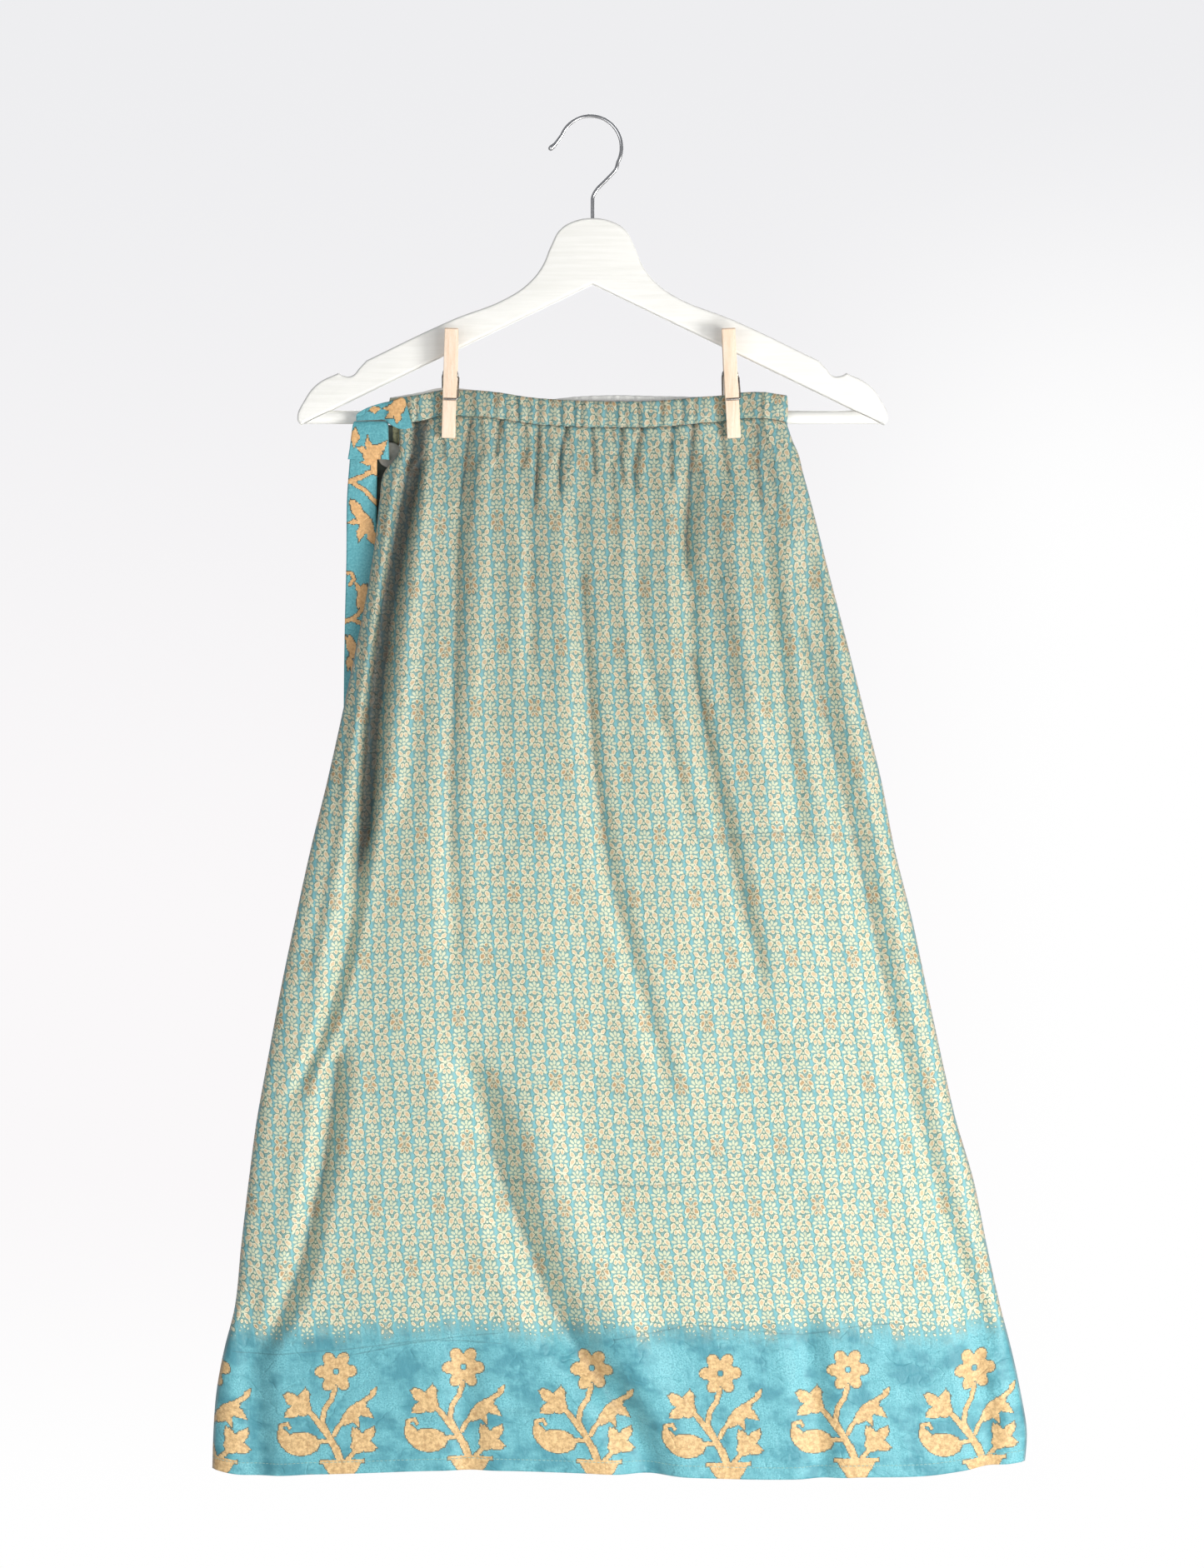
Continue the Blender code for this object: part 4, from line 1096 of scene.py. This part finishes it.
TIE_UNDER = (
    # drop, left, right, face
    (226.4, -165.0, -149.6, -8.2),
    (229.2, -165.0, -148.9, -8.2),
    (229.9, -165.0, -141.6, -8.0),
    (236.0, -166.0, -140.9, -6.6),
    (243.0, -167.0, -140.9, -4.4),
    (262.0, -168.0, -145.0, -4.0),
    (290.0, -168.0, -146.5, -2.2),
    (322.0, -168.5, -147.0, 0.6),
    (345.0, -169.0, -147.5, 2.8),
    (381.0, -170.0, -148.5, 5.4),
    (430.0, -171.0, -149.5, 8.6),
)
KITE_WIDEST = 3.5  # a narrower leaf of the table below is a pointed kite
LEAF_OVALS = (
    # across, drop, turn in degrees, half length, half width
    (-141.2, 216.6, 60, 7.0, 5.6),
    (-147.2, 217.6, 0, 4.2, 1.7),
    (-146.4, 222.4, 32, 3.8, 1.8),
    (-141.6, 224.2, 80, 3.4, 2.2),
    (-138.0, 211.8, 70, 3.4, 3.0),
    (-158.8, 218.4, 10, 3.3, 1.9),
    (-173.4, 238.6, 86, 5.4, 2.6),
    (-160.2, 250.6, 20, 7.4, 6.0),
    (-163.2, 244.4, 96, 5.0, 1.7),
    (-154.4, 246.6, 48, 5.4, 2.3),
    (-167.4, 248.2, 158, 3.8, 1.7),
    (-157.6, 259.6, 92, 7.0, 4.8),
    (-164.2, 257.0, 182, 3.6, 1.7),
    (-172.4, 292.0, -58, 8.0, 4.0),
    (-166.4, 301.4, -60, 9.0, 5.4),
    (-161.0, 311.6, -66, 7.4, 2.8),
    (-169.4, 308.4, -104, 5.4, 2.4),
    (-174.6, 300.8, 186, 3.6, 1.5),
    (-168.6, 356.0, 76, 9.4, 4.2),
    (-171.4, 350.0, 118, 4.2, 1.6),
    (-176.4, 394.0, -68, 9.6, 3.8),
    (-178.6, 404.4, -100, 4.6, 1.8),
    (-170.4, 446.0, 64, 10.0, 4.4),
    (-165.6, 452.0, 10, 5.0, 2.0),
    (-173.6, 520.0, -58, 9.4, 5.0),
    (-168.4, 585.0, 76, 9.0, 4.4),
    (-168.0, 474.0, 28, 5.0, 2.0),
    (-177.0, 490.0, 150, 5.0, 2.0),
    (-167.0, 544.0, 30, 5.0, 2.0),
    (-175.5, 556.0, 155, 4.6, 1.8),
)
LEAF_STROKES = (
    # across and drop of the start, across and drop of the end, width
    (-161.0, 264.0, -170.6, 268.6, 3.2),
    (-170.6, 268.6, -179.6, 271.2, 3.2),
    (-176.0, 271.4, -165.6, 278.2, 3.0),
    (-165.6, 278.2, -157.4, 287.4, 3.0),
    (-181.2, 338.4, -176.8, 338.8, 2.4),
    (-176.8, 338.8, -174.8, 342.8, 2.4),
    (-174.8, 342.8, -178.0, 347.2, 2.2),
    (-168.8, 365.4, -174.4, 371.6, 2.8),
    (-174.4, 371.6, -182.0, 374.6, 3.0),
    (-174.4, 373.6, -164.0, 379.6, 2.8),
    (-177.0, 405.0, -171.0, 440.0, 2.8),
    (-171.0, 450.0, -174.0, 515.0, 2.8),
    (-173.0, 525.0, -168.5, 580.0, 2.8),
)


def leafy_branch(across, up):
    """Gold leaves on teal, joined from ovals, pointed kites and strokes, with a stepped, toothed edge."""
    point = joined_xy(across, up)
    place = stepped(point)
    shapes = []
    for x, drop, turn, long, wide in LEAF_OVALS:
        if wide > KITE_WIDEST:
            shapes.append(oval(place, x, -drop, turn, long, wide * 0.92))
        else:
            shapes.append(kite(place, x, -drop, turn, long * 1.35, wide * 1.45))
    shapes += [stroke(place, (x0, -d0), (x1, -d1), width) for x0, d0, x1, d1, width in LEAF_STROKES]
    shape = union(shapes) + (noise(place, 0.42, 1.0) - 0.5) * 2.2
    teal = noise(point, 0.6, 3.0, 0.7).between(0.3, 0.7).mix(srgb(76, 152, 164), srgb(104, 178, 186))
    warm = noise(point, 0.5, 2.0).between(0.3, 0.7).mix(srgb(206, 158, 104), srgb(230, 184, 126))
    lined = (shape < 0.55).mix(teal, srgb(84, 88, 76))
    return (shape < 0.0).mix(lined, warm)


tie_satin = satin("teal_border_satin", leafy_branch)
# The second run's look is painted deep shade: a dark mottled tone, brown flecks for the gold print seen in
# shade, and beside the fold a patch painted as the skirt's printed cloth seen in shade.
tie_shade, tie_shade_start, tie_shade_finish = principled("tie_inside", 0.75)
tie_shade_place = object_space(tie_shade_start)
tie_shade_tone = noise(tie_shade_place, 0.12).between(0.35, 0.7).mix(srgb(34, 44, 38), srgb(62, 70, 60))
shaded_gold_flecks = noise(tie_shade_place, 0.2).between(0.6, 0.68) * 0.7
tie_shade_tone = shaded_gold_flecks.mix(tie_shade_tone, srgb(128, 78, 50))
tie_shade_x, _, tie_shade_z = tie_shade_place.parts()
beside_fold = tie_shade_x.between(-146.2, -144.8) * tie_shade_z.between(-244.0, -240.0)
beside_fold = beside_fold * noise(tie_shade_place, 0.5, 2.0).between(0.2, 0.6)
tie_shade_finish(Base_Color=beside_fold.mix(tie_shade_tone, srgb(150, 146, 112)))


def refined(points, rows, columns):
    """A finer grid through a coarse one: the cubic between its points, along each axis in turn."""
    for axis, count in ((0, rows), (1, columns)):
        at = np.linspace(0, points.shape[axis] - 1, count)
        slope = np.gradient(points, axis=axis)
        i = np.clip(at.astype(int), 0, points.shape[axis] - 2)
        u = (at - i).reshape((-1, 1, 1) if axis == 0 else (1, -1, 1))
        between = [np.take(of, at_row, axis) for of in (points, slope) for at_row in (i, i + 1)]
        points = cubic(*between, u)
    return points


def tie_piece(node, coarse, rows, columns, look, inward=None):
    """A shell 1.2 mm thick on a refined grid, its print laid out as it is seen from the front."""
    outer = refined(coarse, rows, columns)
    inner = outer - outward(outer, -1) * TIE_CLOTH if inward is None else outer + inward
    made = shell(node + "_cloth", outer, inner, look, (outer[..., 0], outer[..., 2], 0 * outer[..., 0]))
    stands_for(made, node)


def strip(table):
    """Coarse grid of a hanging run: it bows by 0.6 mm and sways a little down its length."""
    share = np.linspace(0.0, 1.0, 5)[None, :]
    drop, left, right, face = np.array(table, float).T[:, :, None]
    x = left + share * (right - left)
    y = face + 0.6 * (2 * share - 1) ** 2 + 0.35 * np.sin(drop / 17.0 + 3 * share)
    return np.stack([x, y, -drop + 0 * x], -1)


wrap_columns = []
for top_x, top_drop, bottom_x, bottom_drop, wrap_face in TIE_WRAP:
    wrap_share = np.linspace(0.0, 1.0, 4)
    wrap_x = top_x + wrap_share * (bottom_x - top_x)
    wrap_drop = top_drop + wrap_share * (bottom_drop - top_drop)
    if wrap_face is None:
        waist_share = np.clip((wrap_x - WAIST_LEFT) / (WAIST_RIGHT - WAIST_LEFT), 0.0, 1.0)
        proud = TIE_CLOTH + 0.9 + 1.6 * (1 - smooth_step(waist_share / 0.03))
        wrap_face = sheet_face(-1, waist_share, wrap_x, wrap_drop) - proud
    wrap_columns.append(np.stack([wrap_x, wrap_face + 0 * wrap_x, -wrap_drop], -1))
tie_piece(
    "tie_wrap", np.stack(wrap_columns, axis=1), 16, 65, tie_satin,
    np.array([0.0, TIE_CLOTH, 0.0]),
)

fold_drop, fold_left, fold_right, fold_face = np.array(TIE_FOLD, float).T
fold_stations = [(fold_left + quarter / 4 * (fold_right - fold_left), fold_face) for quarter in range(5)]
fold_stations.append((fold_right + TIE_RETURN_OUT * 0.8, fold_face + TIE_RETURN_BACK * 0.3))
fold_stations.append((fold_right + TIE_RETURN_OUT, fold_face + TIE_RETURN_BACK))
fold_grid = np.stack([np.stack([x, y, -fold_drop], -1) for x, y in fold_stations], axis=1)
tie_piece("tie_fold", fold_grid, 26, 43, tie_satin)
tie_piece("tie_tail", strip(TIE_TAIL), 120, 17, tie_satin)
tie_piece("tie_under", strip(TIE_UNDER), 60, 17, tie_shade)

# Disc: a small flat grey disc, turned, with a soft edge, between the tie and the skirt.
BUTTON_PLACE, BUTTON_SIDES = (-147.8, -5.6, -251.3), 72
BUTTON_PROFILE = (
    # radius, forward of its middle
    (0.0, 0.92),
    (5.5, 0.92),
    (6.6, 0.96),
    (8.6, 1.0),
    (9.2, 0.8),
    (9.5, 0.3),
    (9.5, -0.3),
    (9.2, -0.8),
    (8.6, -1.0),
    (0.0, -1.0),
)
button_look, button_start, button_finish = principled("grey_plastic", 0.42)
button_tone = noise(object_space(button_start), 0.35, 3.0).between(0.3, 0.7)
button_finish(Base_Color=button_tone.mix(srgb(134, 131, 122), srgb(148, 145, 136)))


def turned(name, profile, place, look):
    """A profile turned about an axis along -Y: its first and last points lie on the axis."""
    count = BUTTON_SIDES
    turns = np.arange(count) * 2 * math.pi / count
    points = [(0.0, -profile[0][1], 0.0)]
    for radius, forward in profile[1:-1]:
        points += [(radius * math.cos(turn), -forward, radius * math.sin(turn)) for turn in turns]
    points.append((0.0, -profile[-1][1], 0.0))
    last = len(points) - 1
    faces = [(0, 1 + k, 1 + (k + 1) % count) for k in range(count)]
    faces += [(a, d, c, b) for a, b, c, d in ring_faces(len(profile) - 2, count, 1)]
    first = last - count
    faces += [(first + (k + 1) % count, first + k, last) for k in range(count)]
    return surface(name, np.array(points) + np.array(place), faces, [look])


stands_for(turned("waist_disc", BUTTON_PROFILE, BUTTON_PLACE, button_look), "waist_button")

# Hanger: a flat white-painted wooden body with rounded edges and two notches, a round bar between its
# arms, and a hook of bent polished wire with a ball end.
HANGER_X = 2.5
HANGER_WALL, HANGER_EDGE = 12.0, 2.0
ARM_APEX, ARM_SLOPE = 123.8, 0.484
BAR_DROP, BAR_RADIUS = 222.7, 5.0
WIRE_RADIUS, HOOK_RADIUS, HOOK_CENTRE_X = 1.4, 23.0, 1.0
HOOK_START, HOOK_SWEEP = 158.0, 187.2  # degrees
HANGER_HALF = (
    # out from the middle, drop, corner (1) or smooth (0); from the top down the arm and back underneath
    (0.0, 75.2, 0),
    (13.0, 77.2, 0),
    (24.0, 83.6, 0),
    (31.0, 96.0, 0),
    (37.5, 111.0, 0),
    (47.5, 123.4, 0),
    (63.4, 134.4, 0),
    (104.7, 150.9, 0),
    (168.0, 181.0, 1),
    (173.2, 186.6, 0),
    (178.6, 192.2, 0),
    (184.8, 192.2, 0),
    (188.6, 190.2, 1),
    (204.5, 198.4, 0),
    (213.8, 210.1, 0),
    (219.2, 224.8, 0),
    (217.0, 228.6, 1),
    (0.0, ARM_APEX, 1),
)
HOOK_PATH = (
    # across, drop, share of the wire's radius: the ball end, then where the arc begins
    (-29.9, 23.9, 0.35),
    (-29.5, 23.5, 1.05),
    (-28.4, 22.6, 1.45),
    (-26.8, 21.1, 1.42),
    (-25.4, 19.7, 1.1),
    (-24.2, 18.2, 1.0),
)
HOOK_STEM = ((19.4, 39.0), (12.3, 46.6), (6.0, 53.0), (2.9, 58.5), (HANGER_X, 64.0), (HANGER_X, 74.9))

white_wood, white_start, white_finish = principled("white_painted_wood", 0.42, Coat_Weight=0.15)
white_place = object_space(white_start, (0.05, 1.0, 1.0))
white_grain = noise(white_place, 0.35, 3.0, 0.6)
white_finish(
    Base_Color=white_grain.between(0.3, 0.7).mix(srgb(238, 237, 232), srgb(245, 244, 240)),
    Normal=bumped(white_grain, 0.12, 0.5),
)
chrome, chrome_start, chrome_finish = principled("polished_steel", 0.2, Metallic=1.0)
chrome_wear = noise(object_space(chrome_start), 0.4, 3.0).between(0.3, 0.7)
chrome_finish(Base_Color=chrome_wear.mix(srgb(196, 196, 198), srgb(214, 214, 216)))


def curve_piece(name, data, place, look, node):
    """A mesh of a curve, its place applied. What faces along the curve's own Z is shaded flat."""
    holder = bpy.data.objects.new(name, data)
    bpy.context.scene.collection.objects.link(holder)
    bpy.context.view_layer.update()
    mesh = bpy.data.meshes.new_from_object(holder.evaluated_get(bpy.context.evaluated_depsgraph_get()))
    bpy.data.objects.remove(holder)
    work = bmesh.new()
    work.from_mesh(mesh)
    bmesh.ops.remove_doubles(work, verts=work.verts, dist=1e-6)
    bmesh.ops.recalc_face_normals(work, faces=work.faces)
    for face in work.faces:
        face.smooth = data.dimensions == "3D" or abs(face.normal.z) < 0.9999
    work.to_mesh(mesh)
    work.free()
    mesh.transform(place)
    mesh.set_sharp_from_angle(angle=math.radians(40))
    mesh.materials.clear()
    mesh.materials.append(look)
    made = bpy.data.objects.new(name, mesh)
    bpy.context.scene.collection.objects.link(made)
    stands_for(made, node)


def wire_curve(name, points, radius, round_steps):
    """A round wire through points (x, y, z, share of the radius) in millimetres."""
    data = bpy.data.curves.new(name, "CURVE")
    data.dimensions = "3D"
    data.bevel_depth = radius * MM
    data.bevel_resolution = round_steps
    data.use_fill_caps = True
    spline = data.splines.new("POLY")
    spline.points.add(len(points) - 1)
    spline.use_smooth = True
    for knot, (x, y, z, share) in zip(spline.points, points):
        knot.co = (x * MM, y * MM, z * MM, 1.0)
        knot.radius = share
    return data


def board_curve(name, wall, edge, round_steps):
    """A filled flat curve as thick as a wall, with rounded edges, and without its outline yet."""
    data = bpy.data.curves.new(name, "CURVE")
    data.dimensions = "2D"
    data.fill_mode = "BOTH"
    data.extrude = (wall / 2 - edge) * MM
    data.bevel_depth = edge * MM
    data.offset = -edge * MM
    data.bevel_resolution = round_steps
    data.resolution_u = 10
    return data


body = board_curve("hanger_outline", HANGER_WALL, HANGER_EDGE, 4)
hanger_outline = list(HANGER_HALF) + [(-x, drop, corner) for x, drop, corner in reversed(HANGER_HALF[1:-1])]
body_spline = body.splines.new("BEZIER")
body_spline.bezier_points.add(len(hanger_outline) - 1)
body_spline.use_cyclic_u = True
for knot, (x, drop, corner) in zip(body_spline.bezier_points, hanger_outline):
    knot.co = ((x + HANGER_X) * MM, -drop * MM, 0.0)
    knot.handle_left_type = knot.handle_right_type = "VECTOR" if corner else "AUTO"
upright = Matrix.Rotation(math.pi / 2, 4, "X")
curve_piece("hanger_wood", body, upright, white_wood, "hanger_body")

BAR_SIDES, BAR_LENGTHS = 48, 8
bar_points = []
for station in np.linspace(-1.0, 1.0, BAR_LENGTHS + 1):
    for turn in np.arange(BAR_SIDES) * 2 * math.pi / BAR_SIDES:
        drop = BAR_DROP - BAR_RADIUS * math.sin(turn)
        reach = (drop - ARM_APEX) / ARM_SLOPE - SEAM / math.sin(math.atan(ARM_SLOPE))
        bar_points.append((HANGER_X + station * reach, BAR_RADIUS * math.cos(turn), -drop))
bar_faces = ring_faces(BAR_LENGTHS + 1, BAR_SIDES)
bar_faces += [tuple(range(BAR_SIDES))[::-1], tuple(range(BAR_LENGTHS * BAR_SIDES, len(bar_points)))]
bar = surface("trouser_bar", bar_points, bar_faces, [white_wood])
bar.data.set_sharp_from_angle(angle=math.radians(40))
stands_for(bar, "hanger_bar")

hook_points = [(x, 0.0, -drop, share) for x, drop, share in HOOK_PATH]
for share in np.linspace(0.0, 1.0, 65):
    turn = math.radians(HOOK_START - share * HOOK_SWEEP)
    reach = HOOK_RADIUS + max(0.0, -math.sin(turn)) * share
    x, z = HOOK_CENTRE_X + reach * math.cos(turn), WIRE_RADIUS - HOOK_RADIUS + HOOK_RADIUS * math.sin(turn)
    hook_points.append((x, 0.0, z, 1.0))
stem = np.array([hook_points[-1][:3:2]] + [(x, -drop) for x, drop in HOOK_STEM])[:, None, :]
hook_points += [(x, 0.0, z, 1.0) for x, z in refined(np.repeat(stem, 2, axis=1), 31, 2)[1:, 0]]
hook = wire_curve("hook_wire", hook_points, WIRE_RADIUS, 5)
curve_piece("hook", hook, Matrix.Identity(4), chrome, "hanger_hook")

# Clothes pegs: two halves of pale wood with softened edges, and a spring with a coil between them, whose
# legs end across a groove on each outer face. The front half stands over the waistband.
PEG_WIDTH, PEG_THICKNESS, PEG_LENGTH = 10.0, 6.3, 81.0
PEG_HANDLE = 3.1
PEG_NOTCH, PEG_NOTCH_RADIUS, PEG_NOTCH_OUT = 65.0, 5.6, 2.0
PEG_COIL, PEG_COIL_RADIUS, PEG_COIL_OUT = 33.0, 3.8, 2.4
PEG_GROOVE, PEG_GROOVE_DEPTH, PEG_GROOVE_WIDTH = 52.4, 1.2, 2.2
PEG_EDGE = 0.4
PEG_WIRE, COIL_RADIUS, COIL_TURNS = 0.7, 2.1, 5
FRONT_LEAN, BACK_LEAN = math.radians(3.5), math.radians(19.5)
JAW_FRONT = 11.9
PEGS = (
    # name, across, turn in the plane of the hanger
    ("left", PEG_PLACES[0], math.radians(1.8)),
    ("right", PEG_PLACES[1], math.radians(-3.1)),
)

peg_wood, wood_start, wood_finish = principled("pale_wood", 0.62)
wood_place = object_space(wood_start, (1.0, 1.0, 0.05))
wood_bands = noise(wood_place, 0.55, 3.0, 0.6).between(0.3, 0.72)
wood_pores = noise(object_space(wood_start, (1.0, 1.0, 0.14)), 2.6, 2.0).between(0.55, 0.72)
wood_tone = wood_bands.mix(srgb(240, 211, 184), srgb(248, 228, 208))
wood_finish(
    Base_Color=(wood_pores * 0.45).mix(wood_tone, srgb(222, 188, 146)),
    Normal=bumped(wood_bands * 0.6 + wood_pores * 0.4, 0.2, 0.5),
)
steel, steel_start, steel_finish = principled("spring_steel", 0.32, Metallic=1.0)
steel_wear = noise(object_space(steel_start), 0.9, 2.0).between(0.35, 0.7)
steel_finish(Base_Color=steel_wear.mix(srgb(150, 146, 142), srgb(190, 188, 184)))


def peg_outline():
    """Side view of one half, as (out from the inner face, distance from the handle's tip)."""
    inner = [(PEG_HANDLE, 0.0), (0.0, PEG_COIL - 5.5)]
    coil_seat = (PEG_COIL, PEG_COIL_OUT, PEG_COIL_RADIUS)
    bar_notch = (PEG_NOTCH, PEG_NOTCH_OUT, PEG_NOTCH_RADIUS)
    for at, out, radius in (coil_seat, bar_notch):
        half = math.acos(out / radius)
        turns = np.linspace(-half, half, 15)
        inner += [(radius * math.cos(turn) - out, at + radius * math.sin(turn)) for turn in turns]
    half_groove = PEG_GROOVE_WIDTH / 2
    outer = [
        (0.6, PEG_LENGTH),
        (PEG_THICKNESS - 1.2, PEG_LENGTH),
        (PEG_THICKNESS - 0.4, PEG_LENGTH - 0.4),
        (PEG_THICKNESS, PEG_LENGTH - 1.4),
        (PEG_THICKNESS, PEG_GROOVE + half_groove),
        (PEG_THICKNESS - PEG_GROOVE_DEPTH, PEG_GROOVE + half_groove * 0.8),
        (PEG_THICKNESS - PEG_GROOVE_DEPTH, PEG_GROOVE - half_groove * 0.8),
        (PEG_THICKNESS, PEG_GROOVE - half_groove),
        (PEG_THICKNESS, 1.0),
        (PEG_THICKNESS - 0.9, 0.0),
    ]
    return inner + outer


def peg_frame(side, peg_x, turn):
    """Placing of a half: its own axes are out from the inner face, towards the handle, and across."""
    lean = FRONT_LEAN if side < 0 else BACK_LEAN
    up = Vector((0, -math.sin(lean), math.cos(lean)))
    out = Vector((0, side * math.cos(lean), side * math.sin(lean)))
    gap = JAW_FRONT if side < 0 else PEG_NOTCH_OUT
    place = Matrix((out, up, out.cross(up))).transposed().to_4x4()
    place.translation = out * gap * MM
    return Matrix.Translation(Vector((peg_x, 0, -BAR_DROP)) * MM) @ Matrix.Rotation(turn, 4, "Y") @ place


def spring_points(in_peg, frames):
    """The spring's wire in the peg's own frame: leg, coil, leg."""
    beside = PEG_WIDTH / 2 + SEAM + PEG_WIRE
    seated = PEG_THICKNESS - PEG_GROOVE_DEPTH + SEAM + PEG_WIRE
    groove = Vector((seated, PEG_NOTCH - PEG_GROOVE, 0)) * MM
    seat = Vector((-PEG_COIL_OUT, PEG_NOTCH - PEG_COIL, 0)) * MM
    front, back = (in_peg @ place @ groove / MM for place in frames)
    seats = [in_peg @ place @ seat / MM for place in frames]
    centre = (seats[0] + seats[1]) / 2
    reach = PEG_WIDTH / 2 - 0.8
    points = [(-reach, front.y, front.z), (beside - 1.2, front.y, front.z)]
    points += [(beside - 0.4, front.y + 0.1, front.z + 0.4), (beside, front.y + 0.6, front.z + 1.4)]
    start = math.atan2(front.z - centre.z, front.y - centre.y) + math.radians(60)
    for step in np.linspace(0.0, 1.0, COIL_TURNS * 20 + 1):
        turn = start - 2 * math.pi * COIL_TURNS * step
        x = beside * (1 - 2 * step)
        points.append((x, centre.y + COIL_RADIUS * math.cos(turn), centre.z + COIL_RADIUS * math.sin(turn)))
    points += [(-beside, back.y - 1.0, back.z + 1.2), (-beside + 0.4, back.y - 0.2, back.z + 0.3)]
    points += [(-beside + 1.2, back.y, back.z), (reach, back.y, back.z)]
    return points


for peg_name, peg_x, peg_turn in PEGS:
    half = board_curve("peg_half", PEG_WIDTH, PEG_EDGE, 2)
    half_outline = peg_outline()
    half_spline = half.splines.new("POLY")
    half_spline.points.add(len(half_outline) - 1)
    half_spline.use_cyclic_u = True
    for knot, (out, down) in zip(half_spline.points, half_outline):
        knot.co = (out * MM, (PEG_NOTCH - down) * MM, 0.0, 1.0)
    frames = [peg_frame(side, peg_x, peg_turn) for side in (-1, 1)]
    for part, place in zip(("front", "back"), frames):
        node = f"peg_{peg_name}_{part}"
        curve_piece(node + "_wood", half, place, peg_wood, node)
    pivot = Matrix.Translation(Vector((peg_x, 0, -BAR_DROP)) * MM) @ Matrix.Rotation(peg_turn, 4, "Y")
    wire = [(*point, 1.0) for point in spring_points(pivot.inverted(), frames)]
    spring = wire_curve("spring_wire", wire, PEG_WIRE, 3)
    node = f"peg_{peg_name}_spring"
    curve_piece(node + "_wire", spring, pivot, steel, node)
